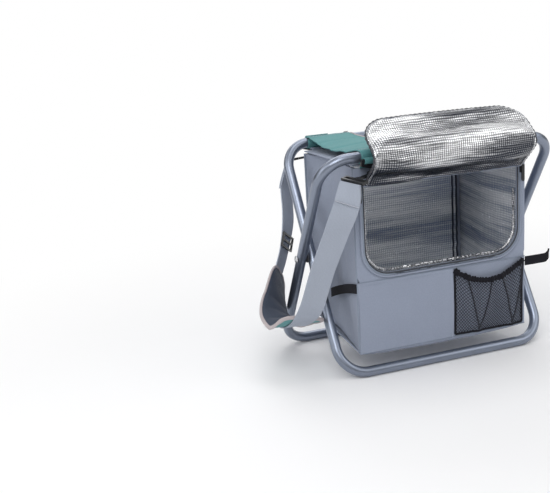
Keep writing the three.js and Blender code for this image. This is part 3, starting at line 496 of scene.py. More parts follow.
def cloth(name, grid, thickness, material, slot, held, rests, *nodes, place=settle, **where):
    """A cut of cloth, placed; its longest runs each way and the area between them are measured from the grid.
    """
    place(sheet(name, grid, thickness, material), slot, *nodes, **where)
    points = np.asarray(grid, float) / 1000
    down, along = np.diff(points, axis=0), np.diff(points, axis=1)
    width = norm(down, axis=2).sum(axis=0).max()
    length = norm(along, axis=2).sum(axis=1).max()
    area = norm(np.cross(down[:, :-1], along[:-1]), axis=2).sum()


# Frame: two tube loops, rivets and washers

def frame_loop(name, half_width, lean, body):
    half, rise = half_width - BEND, LOOP_HALF - BEND
    flat = []
    for x, z, start in ((half, rise, 90), (half, -rise, 0), (-half, -rise, -90), (-half, rise, 180)):
        flat += arc(x, z, BEND, start, start - 90, 14)
    line = [(x, PIVOT[1] - z * sin(lean), PIVOT[2] + z * cos(lean)) for x, z in flat]
    loop = sweep(name, line, circle(BAR_RADIUS, 40), (0, cos(lean), sin(lean)), TUBE, closed=True)
    settle(loop, "tube", f"{body}_tube", f"{body}_tube_plug", body=body)


frame_loop("outer_tube", OUTER_HALF, TILT, "outer_frame")
frame_loop("inner_tube", INNER_HALF, -TILT, "inner_frame")


def turned(name, profile, material):
    """A turned piece about the pivots' line; the profile gives radius and distance from the middle."""
    angles = linspace(0, 2 * pi, 33)[:-1]
    rings = [[(x, PIVOT[1] + r * cos(a), PIVOT[2] + r * sin(a)) for a in angles] for r, x in profile]
    return tubes(name, [rings], material, sharp=35)


def pivots():
    inner_face, outer_face = INNER_HALF - BAR_RADIUS - 0.5, OUTER_HALF + BAR_RADIUS + 0.5
    head = [(1.2, -2.3), (3.4, -2.2), (5.2, -1.5), (6, -0.5), (6, 0)]
    rivet = [(r, inner_face + x) for r, x in head] + [(2.5, inner_face), (2.5, outer_face)]
    rivet += [(r, outer_face - x) for r, x in head[::-1]]
    washer = [(6.9, 187.98), (7.5, 188.2), (7.5, 189.3), (6.9, 189.52)]
    for sign, side_name in SIDES:
        for name, profile, material, slot, node in (("rivet", rivet, STEEL, "steel", "rivet"),
                                                    ("spacer", washer, NYLON, "washer", "washer")):
            profile = [(r, sign * x) for r, x in profile][::sign]
            settle(turned(f"{name}_{side_name}", profile, material), slot, f"pivot_{node}_{side_name}")


pivots()


# Seat: one span of cloth, its sleeves and the bound carry notches

def seat_edge(x):
    turn = min(max((abs(x) - NOTCH_HALF) / NOTCH_CORNER, 0), 1)
    return SEAT_HALF - NOTCH_DEPTH * sqrt(1 - turn * turn)


def seat_height(x, y):
    middle = 1 - (y / SEAT_HALF) ** 2
    outward = (abs(x) / SLEEVE_OUT) ** 4
    crease = sum(hump(y - c, 3.2) for c in SEAT_CREASES)
    pull = 1.1 * wobble(x, y, 0, 46, 3.1) + 0.5 * wobble(x, y, 0, 17, 5.7)
    ripple = 0.9 * sin(y / 7.5) * (abs(x) / SLEEVE_OUT) ** 6
    return BAR_Z + SLEEVE_RADIUS - middle * (7 * (0.6 + 0.8 * outward) + 1.1 * crease - pull - ripple)


def seat_point(x, share):
    y = share * seat_edge(x)
    return x, HALF_SPREAD + y, seat_height(x, y)


notch_places = [NOTCH_HALF + NOTCH_CORNER * sin(s * pi / 2 / 10) for s in range(11)]
seat_xs = both_sides([0, 10.5, 21, 31.5] + notch_places + [62.3, 70, 78, 86, 94, 102, 110, 117, 124, 130,
                                                           134.5, SLEEVE_OUT])
seat_grid = lattice(seat_xs, across(57, 1), seat_point)
seat = settle(sheet("seat_cloth", seat_grid, 1.5, TEAL), "teal_cloth", "seat_panel", span=SEAT_SPAN)


def sleeve_profile(front):
    """The cloth's run round a bar in y and z from the bar, from its tongue over the top and round."""
    radius = SLEEVE_RADIUS
    line = [(12, radius), (6, radius), (0, radius)]
    if not front:
        return line + arc(0, 0, radius, 90, 400, 34)[1:]
    return line + arc(0, 0, radius, 90, 186, 12)[1:] + [(-8.4, -6), (-5.6, -10), (-2, -14.2), (0.4, -16)]


def bar_frame(front):
    """The bar's y, the way outward from the seat, and the body that carries it."""
    return (0, 1, "outer_frame") if front else (REAR_BAR, -1, "inner_frame")


def sleeve(front, sign, side_name):
    """A bar's sleeve on one side, and the tape over its inner edge."""
    tag = f"{'front' if front else 'rear'}_{side_name}"
    profile = even(sleeve_profile(front), 1.8)
    start, end = sorted((sign * SLEEVE_IN, sign * SLEEVE_OUT))
    xs = linspace(start, end, 30)
    bar_y, side, body = bar_frame(front)
    grid = []
    for x in xs:
        row = []
        for k, (y, z) in enumerate(profile):
            ripple = 0.3 * sin(x / 3.4 + 0.4 * sin(k / 3)) * (k / len(profile)) ** 2
            grow = 1 + (0.35 * wobble(x, 3 * k, 0, 9, 2.0) + ripple) / hypot(y, z)
            row.append((x, bar_y + side * y * grow, BAR_Z + z * grow))
        grid.append(row)
    settle(sheet(f"sleeve_{tag}", grid, 1.4, TEAL), "teal_cloth", f"seat_sleeve_{tag}", body=body)
    if front:
        under = [[(x, y, BAR_Z + z) for y, z in arc(0, 0, SLEEVE_RADIUS, 215, 398, 20)] for x in xs]
        settle(sheet(f"sleeve_{tag}_under", under, 1.4, TEAL), "teal_cloth")
    tape = [[(x, bar_y + side * y, BAR_Z + z) for y, z in arc(0, 0, TAPE_RADIUS, 88, 222, 18)]
            for x in sign * (SLEEVE_IN + 3) + linspace(-3, 3, 5)]
    settle(sheet(f"sleeve_tape_{tag}", tape, 1.0, BINDING), "binding", f"notch_binding_{tag}", body=body)


def sleeve_row(front, sign, side_name):
    """The row of stitches that closes a sleeve."""
    bar_y, side, body = bar_frame(front)
    start, end = sorted((sign * SLEEVE_IN, sign * SLEEVE_OUT))
    line = [(x, bar_y + side * 9.5, BAR_Z + 10.2) for x in (start + 3, end - 3)]
    row = stitches(f"sleeve_stitch_{side_name}_{bar_y}", line, Z, radius=0.35)
    settle(row, "teal_cloth", body=body)


for side_sign, side_word in SIDES:
    for sew in (sleeve, sleeve_row):
        for at_front in (True, False):
            sew(at_front, side_sign, side_word)

for tape_name, way in (("notch_tape_front", -1), ("notch_tape_rear", 1)):
    notch = [(x, HALF_SPREAD + way * (seat_edge(x) - 0.2), seat_height(x, way * seat_edge(x)))
             for x in seat_xs if abs(x) <= SLEEVE_IN + 0.5]
    settle(sweep(tape_name, even(notch, 3), circle(2.6, 10, 0.62), Y, BINDING), "binding", span=SEAT_SPAN)


# Cooler bag

def mouth_distance(x, z):
    """Distance outward from the mouth's cut edge."""
    dx, dz = abs(x) - TURN_X, TURN_Z - z
    if dx > 0 and dz > 0:
        return hypot(dx, dz) - MOUTH_CORNER
    return max(abs(x) - MOUTH_HALF, MOUTH_LOW - z)


def front_y(x, z):
    """Where the bag's front cloth stands, with its belly, folds and the swell round the mouth."""
    middle = max(1 - (x / BAG_HALF) ** 2, 0)
    low = max(min((BELLY_TOP - z) / (BELLY_TOP - FLOOR_FRONT), 1), 0)
    belly = 2.2 * middle * sin(pi * low)
    edge = 1.2 * hump(mouth_distance(x, z) - 6, 9)
    folds = 0.9 * wobble(x, 0, z, 34, 1.3) + 0.5 * wobble(x, 0, z, 13, 8.2)
    return BAG_FRONT - max(0.0, belly + edge + folds * middle + 0.4)


def mouth_line(margin, top):
    half, radius = MOUTH_HALF + margin, MOUTH_CORNER + margin
    line = [(half, top)] + arc(TURN_X, TURN_Z, radius, 0, -90, 18)
    return even(line + arc(-TURN_X, TURN_Z, radius, -90, -180, 18) + [(-half, top)], 6)


def panel_point(x, z):
    return x, front_y(x, z) + 1.25, z


def front_panel():
    """Cloth between the mouth's U and the bag's edges in strips that follow the U, then the lower run."""
    upper = []
    for x, z in mouth_line(0, MOUTH_TOP):
        far_x, far_z = x, POCKET_TOP
        if z > TURN_Z:
            far_x, far_z = copysign(BAG_HALF, x), z
        elif abs(x) > TURN_X:
            angle = atan2(TURN_Z - z, abs(x) - TURN_X)
            square = max(cos(angle), sin(angle))
            far_x = copysign(TURN_X + (BAG_HALF - TURN_X) * cos(angle) / square, x)
            far_z = TURN_Z - (TURN_Z - POCKET_TOP) * sin(angle) / square
        upper.append([panel_point(x + (far_x - x) * s, z + (far_z - z) * s) for s in linspace(0, 1, 8)])
    xs = across(75, BAG_HALF)
    low = lattice(xs, linspace(FLOOR_FRONT, POCKET_TOP, 32), panel_point)
    top = lattice(xs, linspace(MOUTH_TOP, BAG_TOP, 8), panel_point)
    cloth("front_upper", upper, 2.2, OXFORD, "oxford", "hung", "outer_tube", "bag_front_panel")
    cloth("front_lower", low, 2.2, OXFORD, "oxford", "hung", "front_upper")
    cloth("front_top", top, 2.2, OXFORD, "oxford", "hung", "outer_tube")


def follow(points, lift):
    """Points in x and z laid on the front cloth, lifted to the front."""
    return np.array([(x, front_y(x, z) - lift, z) for x, z in points])


def mouth_trim():
    def run(margin, drop, lift):
        return follow(mouth_line(margin, MOUTH_TOP - drop), lift)

    coil = even(run(1.2, 3, 0.8), 1.3)
    beads = [circle(1.15, 8) * (1 + 0.16 * (-1) ** k) for k in range(len(coil))]
    settle(sweep("zip_coil", coil, beads, Y, ZIP_COIL), "black_cloth", "mouth_zipper_tape")
    settle(sweep("zip_tape", run(3.4, 3, 0.35), circle(2.1, 10, 0.3), X, OXFORD_IN), "oxford")
    settle(sweep("mouth_piping", run(6.6, 2, 0.9), circle(1.6, 10), Y, OXFORD), "oxford")
    settle(stitches("mouth_stitch", run(9.6, 4, 0.5), Y, 2.8, 1.6, 0.3, OXFORD_IN), "oxford")


def ragged_seam():
    """The lining's crushed seam allowance, which shows inside the mouth's lower edge."""
    path, rings = [], []
    for x, z in even(mouth_line(-2.6, 262), 2.2):
        low = 1.0 if z < MOUTH_LOW + 30 else 0.75
        grow = [2.3 * low + 1.3 * wobble(x, 5 * cos(a), z, 3.2, 4.4 + i)
                for i, a in enumerate(np.arange(12) * pi / 6)]
        rings.append(circle(1) * np.array(grow)[:, None] * (1.0, 0.8))
        path.append((x + 0.8 * wobble(x, 0, z, 4, 9.0), BAG_FRONT + 4.6, z + 0.9 * wobble(x, 3, z, 5, 2.0)))
    settle(sweep("foil_seam", path, rings, X, FOIL_RAG), "foil")


def floor_height(y):
    return FLOOR_FRONT + (FLOOR_BACK - FLOOR_FRONT) * (y - PANEL_BACK) / (BAG_BACK - PANEL_BACK)


def side_wall(name, sign, inset, thickness, material, lift, slot, node):
    """A side of the bag, folded in along its middle."""
    def point(y, high):
        middle = y - HALF_SPREAD
        crease = 9.5 * max(1 - abs(middle) / 95.5, 0) * (1 - 0.12 * hump(middle, 4))
        foot = floor_height(y) + lift
        z = foot + (BAG_TOP - foot) * high
        fold = 1.6 * wobble(y, 7 * sign, z, 38, 6.0) + 0.7 * wobble(y, 3, z, 15, 2.5)
        diagonal = 1.5 * hump(y - 30 - 60 * high, 7) * sin(pi * high)
        keep = min(1.0, (y - SIDE_FRONT) / 20, (SIDE_BACK - y) / 20, (z - foot) / 20 + 0.1)
        return sign * (BAG_HALF - inset - crease + (fold - diagonal) * max(keep, 0)), y, z

    ys = [*linspace(SIDE_FRONT, 90, 16), *linspace(95, 105, 6), *linspace(110, SIDE_BACK, 14)]
    grid = lattice(ys[::sign], linspace(0, 1, 34), point)
    cloth(name, grid, thickness, material, slot, "hung", "lid_cloth", node, place=crumple)


def side_walls():
    for sign, side_name in SIDES:
        side_wall(f"gusset_{side_name}", sign, 1.4, 1.8, OXFORD, 1.5, "oxford", f"bag_gusset_{side_name}")
        side_wall(f"side_foil_{side_name}", sign, 4.2, 1.0, FOIL_IN, 5, "foil", f"foil_lining_{side_name}")
        for y, x in ((5.2, 147.6), (187.0, 147.4)):
            line = even([(sign * x, y, floor_height(y)), (sign * x, y, BAG_TOP)], 8)
            piping = sweep(f"edge_piping_{side_name}_{int(y)}", line, circle(1.3, 10), X, OXFORD_IN)
            crumple(piping, "oxford")


def rear_lining():
    def point(x, z):
        creases = 1.5 * sin(z / 9 + 2.4 * wobble(x, 0, z, 70, 1.0)) * (0.5 + wobble(x, 0, z, 60, 3.3))
        return x, LINING_Y - max(0, 1.4 + creases + 1.1 * wobble(x, 0, 3 * z, 30, 2.2)), z

    grid = lattice(across(60, LINING_HALF), linspace(66.6, BAG_TOP, 70), point)
    cloth("rear_foil", grid, 1.0, FOIL_IN, "foil", "hung", "rear_wall_cloth", "foil_lining_rear",
          body="bag_rear")
    for sign, side_name in SIDES:
        for place, tag in ((133.2, "side"), (125.6, "inner")):
            line = [(sign * (place + 0.9 * wobble(0, 0, z, 12, sign)), WELT_Y, z)
                    for z in linspace(68, 323, 60)]
            welt = sweep(f"corner_welt_{side_name}_{tag}", line, circle(1.7, 10, 0.8), X, WELT)
            settle(welt, "foil", body="bag_rear")


def bag_floor():
    def outside(x, y):
        middle = max(1 - (x / BAG_HALF) ** 2, 0)
        share = max((y - SIDE_FRONT) / (SIDE_BACK - SIDE_FRONT), 0)
        sag = 9.5 * middle ** 0.35 * (1 - exp(-(y - 2.6) / 1.6)) * (1 - share) ** 0.4
        sag += 1.2 * wobble(x, y, 0, 22, 4.0) * middle * min(1, (y - 2.6) / 4)
        return x, y, floor_height(y) + 0.9 - max(sag, 0)

    def inside(x, y):
        return (x * 134 / BAG_HALF, 5 + (y - 5) * 0.985,
                floor_height(y) + 3.4 + 0.5 * wobble(x, y, 3, 16, 1.0))

    xs = across(50, BAG_HALF)
    grid = lattice(xs, [2.6, 2.9, 3.6, SIDE_FRONT, 6.5, 9, 12, *linspace(16, SIDE_BACK, 28)], outside)
    cloth("floor_cloth", grid, 1.8, OXFORD, "oxford", "hung", "front_lower", "bag_floor", place=crumple)
    grid = lattice(xs, linspace(SIDE_FRONT, SIDE_BACK, 34), inside)
    cloth("floor_foil", grid, 1.0, FOIL_IN, "foil", "laid", "floor_cloth", "foil_lining_floor", place=crumple)
    front = [(x, BAG_FRONT + 0.4, FLOOR_FRONT - 0.6) for x in across(40, BAG_HALF)]
    settle(sweep("floor_piping", front, circle(1.3, 10), Y, OXFORD_IN), "oxford")


def rear_wall():
    def point(x, z):
        keep = max(1 - (abs(x) / BAG_HALF) ** 8, 0)
        fold = 1.4 * wobble(x, 0, z, 42, 5.1) + 0.7 * wobble(x, 0, z, 16, 7.7)
        belly = 2.6 * keep * sin(pi * (z - FLOOR_BACK) / (BAG_TOP - FLOOR_BACK))
        return x, REAR_WALL_Y + max(belly + fold * keep, -0.2), z

    grid = lattice(across(60, BAG_HALF)[::-1], linspace(FLOOR_BACK, BAG_TOP, 50), point)
    cloth("rear_wall_cloth", grid, 2.2, OXFORD, "oxford", "hung", "inner_tube", "bag_rear_panel",
          body="bag_rear")
    lip = [(187.6, 322), (187.7, 328)] + [(REAR_BAR + y, BAR_Z + z) for y, z in arc(0, 0, 11.4, 226, 262, 8)]
    grid = lattice(across(40, MOUTH_HALF), even(lip, 2), lambda x, p: (x, *p))
    settle(sheet("rear_lip", grid, 1.8, OXFORD), "oxford", body="bag_rear")


def lid():
    grid = lattice(across(36, BAG_HALF), linspace(4.6, 187, 24),
                   lambda x, y: (x, y, LID_Z + 0.5 * wobble(x, y, 0, 30, 4.7)))
    cloth("lid_cloth", grid, 1.6, OXFORD, "oxford", "stretched", "front_top", "bag_lid_panel", place=crumple)


front_panel()
mouth_trim()
ragged_seam()
side_walls()
rear_lining()
bag_floor()
rear_wall()
lid()


# Foil flap: one padded sheet from the hem over the lower lobe to the rounded free edge

LOWER_WAY, UPPER_WAY = (np.array((cos(a), sin(a))) for a in (LOWER_ANGLE, UPPER_ANGLE))
FLAP_CREST = FLAP_ROOT + LOWER_RUN * LOWER_WAY
FLAP_SIDE = FLAP_HALF - MOUTH_CORNER
flap_places = [FLAP_SIDE + MOUTH_CORNER * sin(s) * 0.997 for s in linspace(0.1, pi / 2, 14)]
flap_xs = both_sides(list(linspace(0, FLAP_SIDE, 26)) + flap_places)


def flap_length(x):
    """Length of both folds, cut round at the free corners."""
    past = max(abs(x) - FLAP_SIDE, 0)
    cut = MOUTH_CORNER - sqrt(max(MOUTH_CORNER ** 2 - past ** 2, 0))
    return LOWER_RUN + UPPER_RUN - 0.94 * cut - 3 * (x / FLAP_HALF) ** 2


def flap_point(share, x, lift):
    """A point lifted off the flap's middle to its foil side; share runs over both folds."""
    past = share * flap_length(x) - LOWER_RUN
    turn = min(max((past + FLAP_BEND) / (2 * FLAP_BEND), 0), 1)
    angle = LOWER_ANGLE + (UPPER_ANGLE - LOWER_ANGLE) * turn
    if abs(past) > FLAP_BEND:
        y, z = FLAP_CREST + past * (UPPER_WAY if past > 0 else LOWER_WAY)
    else:
        y, z = FLAP_CREST + FLAP_BEND * (turn ** 2 * UPPER_WAY - (1 - turn) ** 2 * LOWER_WAY)
    return np.array((x, y - sin(angle) * lift, z + cos(angle) * lift))


def flap_puff(share, x):
    side = max(1 - (abs(x) / FLAP_HALF) ** 8, 0)
    rim = min(1, (1 - share) / 0.1, share / 0.05)
    drift = 0.03 * sin(x / 52 + 0.6) + 0.07 * wobble(x, 0, share * 60, 70, 2.0)
    lobes = 0.5 + 0.5 * cos(2 * pi * (share + drift - 0.30) / 0.34)
    along = FLAP_LENGTH * share
    small = 0.6 * wobble(x / 2.2, 0, 2.2 * along, 24, 6.1) + 0.4 * wobble(x, 0, 2 * along, 12, 3.2)
    return (1.2 + 7.4 * lobes ** 1.3 * side + 2.4 * small * side) * max(rim, 0)


def flap():
    shares = linspace(0.035, 1, 76)
    face, back, weave = (np.array(lattice(flap_xs, shares, point)) for point in (
        lambda x, s: flap_point(s, x, 1.2 + flap_puff(s, x)),
        lambda x, s: flap_point(s, x, -1.2),
        lambda x, s: (x + 200, s * flap_length(x), 0)))
    thick = norm(face - back, axis=2)
    body = sheet("flap_padded", (face + back) / 2, thick, FOIL, OXFORD_IN, BINDING, weave=weave)
    settle(body, "foil", "flap_lower_fold", "flap_upper_fold", span=FLAP_SPAN)


def flap_edge(inset, lift, side_end, edge_share, xs, pitch):
    """A line up one side of the flap, along its free edge and down the other side, set in from them."""
    half = FLAP_HALF - inset
    sides = linspace(0.05, side_end, 30)
    line = [flap_point(s, -half, lift) for s in sides]
    line += [flap_point(edge_share, x * half / FLAP_HALF, lift) for x in xs]
    return even(line + [flap_point(s, half, lift) for s in sides[::-1]], pitch)


def flap_trim():
    """The flap's half of the zipper, its crushed foil edge, the hem at its root and the bare patch."""
    line = flap_edge(0, 0.6, 0.97, 1.0, flap_xs, 2.0)
    beads = [circle(1.9, 8) * (1.15 if (k // 2) % 2 else 0.8) for k in range(len(line))]
    settle(sweep("flap_zip_coil", line, beads, (0, 0.4, 1), ZIP_COIL), "black_cloth", span=FLAP_SPAN)
    line = flap_edge(3.4, 2.2, 0.965, 1 - 4 / FLAP_LENGTH, flap_xs[4:-4], 2.5)
    rings = [circle(2.3, 10, 0.6) * (1 + 0.25 * wobble(*p, 5, 1.7)) for p in line]
    settle(sweep("flap_foil_edge", line, rings, (0, 0.4, 1), FOIL_RAG), "foil", span=FLAP_SPAN)
    outline = [(1.7, 301.4), (-2, 301.5), (-5, 301.5), (-6.4, 300.6), (-6.5, 300), (-6.4, 299.3), (-5, 298.6),
               (-2, 298.5), (1.7, 298.6)]
    grid = lattice(across(50, FLAP_HALF), even(outline, 1.2), lambda x, p: (x, *p))
    settle(sheet("flap_root_hem", grid, 0.9, OXFORD), "oxford", "flap_hem")
    grid = lattice(linspace(34, 96, 24), linspace(24, 54, 12),
                   lambda x, s: flap_point((LOWER_RUN + s) / flap_length(x), x, -2.2))
    settle(sheet("bare_patch", grid, 0.8, BLACK), "black_cloth", "label_patch", body="flap_upper")


flap()
flap_trim()


# Lower front: plain pocket on the left, net pocket on the right

def plain_pocket():
    def point(x, z):
        high = z - FLOOR_FRONT
        puff = 1.2 * sin(pi * high / (POCKET_TOP - FLOOR_FRONT)) + 0.7 * wobble(x, 2, z, 30, 3.4)
        tuck = 1.3 * exp(-high / 9) * sum(hump(x - c, 3) for c in (-107, -86))
        return x, front_y(x, z) - 0.9 - max(puff - tuck, -0.2), z

    grid = lattice(linspace(-BAG_HALF, POCKET_DIVIDE - 0.3, 48), linspace(FLOOR_FRONT, POCKET_TOP, 34), point)
    cloth("plain_pocket_cloth", grid, 1.0, OXFORD, "oxford", "hung", "front_lower", "front_pocket_panel")
    seam = follow([(x, POCKET_TOP + 0.5) for x in across(60, BAG_HALF)], 0.3)
    settle(sweep("pocket_seam", seam, circle(0.8, 8), Y, OXFORD_IN), "oxford")
    row = [(x, front_y(x, 145) - 1.8, 145.6) for x in linspace(-145, 12, 40)]
    settle(stitches("pocket_stitch", row, Y, 2.8, 1.6, 0.3, OXFORD_IN), "oxford")


def net_point(u, v, lift=0.0):
    """A point of the hanging net: belly, two pleats and a slack top."""
    offs = (u - c - s * v / 6 for c in NET_PLEATS for s in (1, -1))
    gather = sum(0.6 * off * hump(off, 0.05) for off in offs)
    bow = max(sin(pi * u), 0)
    top = POCKET_TOP - 7 - 24 * (1 - 0.15 * u) * bow ** 0.8
    x = NET_LEFT + (NET_RIGHT - NET_LEFT) * (u - gather * min(1, 6 * v, 6 * u, 6 * (1 - u)))
    z = NET_FOOT + (top - NET_FOOT) * v
    belly = 9 * bow ** 0.6 * sin(pi * (0.15 + min(v, 1)) / 1.6)
    pleat = sum(hump(abs(u - c) * 6 - v, 0.3) for c in NET_PLEATS)
    slack = 0.7 * wobble(x, 0, z, 20, 5.5)
    return np.array((x, front_y(x, z) - 0.9 - max(belly + 3.6 * pleat + slack, 0) - lift, z))


def net():
    """Slanting threads that cross in diamonds, each one closed body along the hanging surface."""
    outline, runs = circle(0.46, 5), []
    for lean in (1, -1):
        for start in np.arange(-1.2, 2.2, THREAD_PITCH):
            places = [(start + lean * v * THREAD_SLANT, v) for v in linspace(0, 1, 44)]
            points = np.array([net_point(u, v, 0.25 * lean) for u, v in places if 0 <= u <= 1])
            if len(points) < 3:
                continue
            tangent = unit(np.gradient(points, axis=0))
            side = unit(np.cross(tangent, Y))
            rings = zip(points, side, np.cross(side, tangent))
            runs.append([[p + a * m + b * n for m, n in outline] for p, a, b in rings])
    settle(tubes("net_cloth", runs, THREAD), "black_cloth", "mesh_pocket")


def net_edges():
    top = [net_point(u, 1.0) + (0, 0, 3.5) for u in linspace(0, 1, 90)]
    rings = []
    for k, p in enumerate(top):
        wide = 2.0 * (1 + 0.3 * sin(k * 1.9) + 0.3 * wobble(*p, 4, 8.8))
        high = 4.4 * (1 + 0.2 * sin(k * 1.9 + 1) + 0.35 * wobble(*p, 7, 2.2))
        rings.append(circle(1) * (wide, high))
    settle(sweep("net_elastic", top, rings, Y, BLACK), "black_cloth", "pocket_elastic")
    rise = linspace(0, 1.05, 20)
    for name, places, hint in (("left", [(0, v) for v in rise], X), ("right", [(1, v) for v in rise], X),
                               ("foot", [(u, 0) for u in linspace(0, 1, 30)], Z)):
        line = [net_point(u, v, 0.4) for u, v in places]
        settle(sweep(f"net_edge_{name}", line, circle(1.9, 8, 0.5), hint, BLACK), "black_cloth")
    for c, letter in zip(NET_PLEATS, "ab"):
        for s, way in ((1, "r"), (-1, "l")):
            line = [net_point(min(max(c + s * v / 6, 0), 1), v, 0.5) for v in linspace(0.02, 0.98, 26)]
            pleat = sweep(f"net_pleat_{letter}{way}", line, circle(1.1, 6, 0.6), X, THREAD)
            settle(pleat, "black_cloth")


plain_pocket()
net()
net_edges()


# Closure straps

def closures():
    def right(x, z):
        return x, 1.25 - 0.6 * sin((x - CLOSURE_HIGH) / 14), z + max(x - 186, 0) ** 2 / 12

    def left(y, v):
        share = (y - PANEL_BACK) / 96
        top = CLOSURE_HIGH - 30 * share * (0.6 + 0.4 * share)
        return -149.05 - 0.35 * sin(y / 11), y, top - 15 * (1 - v)

    grid = lattice(linspace(148.9, 194.4, 34), linspace(CLOSURE_LOW, CLOSURE_HIGH, 10), right)
    web = sheet("closure_right_web", grid, 1.4, BLACK)
    settle(web, "black_cloth", "closure_strap_right", body="closure_right")
    tip = [(193.6, 1.25, 150.5), (193.9, 1.2, 153), (194.2, 1.0, 155.6)]
    end = sweep("closure_right_tip", tip, circle(1.5, 10, 0.7), X, BLACK)
    settle(end, "black_cloth", body="closure_right")
    web = sheet("closure_left_web", lattice(linspace(4.6, 100.4, 40), linspace(0, 1, 9), left), 1.4, BLACK)
    settle(web, "black_cloth", "closure_strap_left", body="closure_left")


closures()


# Shoulder strap: the same route as in the part's source, each row a centre and a width direction

STRAP_PLACES = np.array((
    (-164, -124, 312, 0.32, -0.9, -0.28),
    (-171, -124, 282, 0.75, -0.6, -0.3),
    (-186, -116, 240, 0.94, -0.1, -0.32),
    (-206, -102, 180, 0.94, -0.05, -0.32),
    (-222, -86, 118, 0.95, 0, -0.3),
    (-230, -69, 95, 0.96, 0.14, -0.17),
    (-236, -41, 81, 0.91, 0.32, -0.14),
    (-241, -8, 81, 0.78, 0.5, -0.3),
    (-238, 26, 95, 0.6, 0.6, -0.5),
    (-222, 58, 126, 0.5, 0.67, -0.5),
    (-196, 84, 167, 0.55, 0.65, -0.46),
    (-178, 102, 216, 0.7, 0.6, -0.3),
    (-171, 119, 268, 0.75, 0.6, -0.2),
    (-164, 124, 312, 0.32, 0.9, -0.28),
))
CENTRES = STRAP_PLACES[:, :3] + (0, HALF_SPREAD, 0)
WIDTHS = unit(STRAP_PLACES[:, 3:])


def strap_place(t):
    """The route's place before t, and the share of the way to the next."""
    last = len(CENTRES) - 1
    index = min(int(t * last), last - 1)
    return index, t * last - index


def strap_curve(t, slope=False):
    """Centripetal spline through the strap's places."""
    index, share = strap_place(t)
    p1, p2 = CENTRES[index], CENTRES[index + 1]
    p0 = CENTRES[index - 1] if index else 2 * p1 - p2
    p3 = CENTRES[index + 2] if index + 2 < len(CENTRES) else 2 * p2 - p1
    d0, d1, d2 = (max(norm(b - a) ** 0.5, 1e-4) for a, b in ((p0, p1), (p1, p2), (p2, p3)))
    t1 = ((p1 - p0) / d0 - (p2 - p0) / (d0 + d1) + (p2 - p1) / d1) * d1
    t2 = ((p2 - p1) / d1 - (p3 - p1) / (d1 + d2) + (p3 - p2) / d2) * d1
    square, cube = 3 * (p2 - p1) - 2 * t1 - t2, 2 * (p1 - p2) + t1 + t2
    if slope:
        return unit(t1 + 2 * square * share + 3 * cube * share * share)
    return p1 + t1 * share + square * share ** 2 + cube * share ** 3


def ring_frame(side):
    """Origin, direction to the eye and outward direction of a strap ring; side is -1 at the front."""
    down = unit(np.array((0, 0.25 * -side, -0.968)))
    through = np.cross((-side, 0, 0), down)
    bar = np.array((RING_X, HALF_SPREAD + side * HALF_SPREAD, BAR_Z))
    return bar - through * RING_OFF + down * RING_DROP, down, through


# At each end the webbing's width is square to its own run and to the way to its ring's eye
for ring_side, end in ((-1, 0), (1, -1)):
    ring_origin, ring_down, ring_through = ring_frame(ring_side)
    ring_eye = ring_origin + ring_through * EYE_OFF + ring_down * EYE_DROP
    square_way = unit(np.cross(strap_curve(-end, True), ring_eye - CENTRES[end]))
    WIDTHS[end] = square_way * np.sign(square_way.dot(WIDTHS[end]))


def strap_frame(t):
    index, share = strap_place(t)
    width = WIDTHS[index] * (1 - share) + WIDTHS[index + 1] * share
    tangent = strap_curve(t, True)
    width = unit(width - tangent * width.dot(tangent))
    return strap_curve(t), width, np.cross(width, tangent)


def strap_point(t, aside, off):
    centre, width, normal = strap_frame(t)
    return centre + width * aside + normal * off


def webbing(name, start, end, lift=0.0):
    def point(step, a):
        edge = a / HALF_WEB
        twist = 0.9 * wobble(step * 3, 0, 0, 20, 7.0)
        return strap_point(step / STRAP_STEPS, a, lift + 0.5 * (1 - edge ** 2) + twist * edge)

    steps = linspace(start, end, int((end - start) * 2.4) + 2)
    return sheet(name, lattice(steps, across(11, HALF_WEB), point), 1.7, WEBBING)


def strap():
    """The webbing, and its ends turned through their loops and sewn back on the outer face."""
    last, inner = STRAP_STEPS - FOLD_GAP, STRAP_STEPS - FOLD_STEPS
    settle(webbing("strap_web_front", FOLD_GAP, STRAP_SPLIT), "webbing", "strap_front")
    settle(webbing("strap_web_rear", STRAP_SPLIT, last), "webbing", "strap_rear", span=STRAP_SPAN)
    for name, start, end, seam, span in (("strap_fold_front", FOLD_GAP, FOLD_STEPS, FOLD_STEPS, None),
                                         ("strap_fold_rear", inner, last, inner, STRAP_SPAN)):
        fold = webbing(name, start, end, lift=-2.2)
        place = seam / STRAP_STEPS
        line = [strap_point(place, a, -3.3) for a in linspace(-18, 18, 12)]
        row = sweep(name + "_row", line, circle(0.7, 8), strap_frame(place)[2], STITCH)
        for piece in (fold, row):
            settle(piece, "webbing", span=span)


def pad_place(share):
    return (PAD_FROM + (PAD_TO - PAD_FROM) * share) / STRAP_STEPS


def pad_half(share):
    past = max(1 - min(share, 1 - share) * PAD_LENGTH / (PAD_HALF * 0.8), 0)
    return PAD_HALF * (0.35 + 0.65 * sqrt(max(1 - past ** 2.4, 0)))


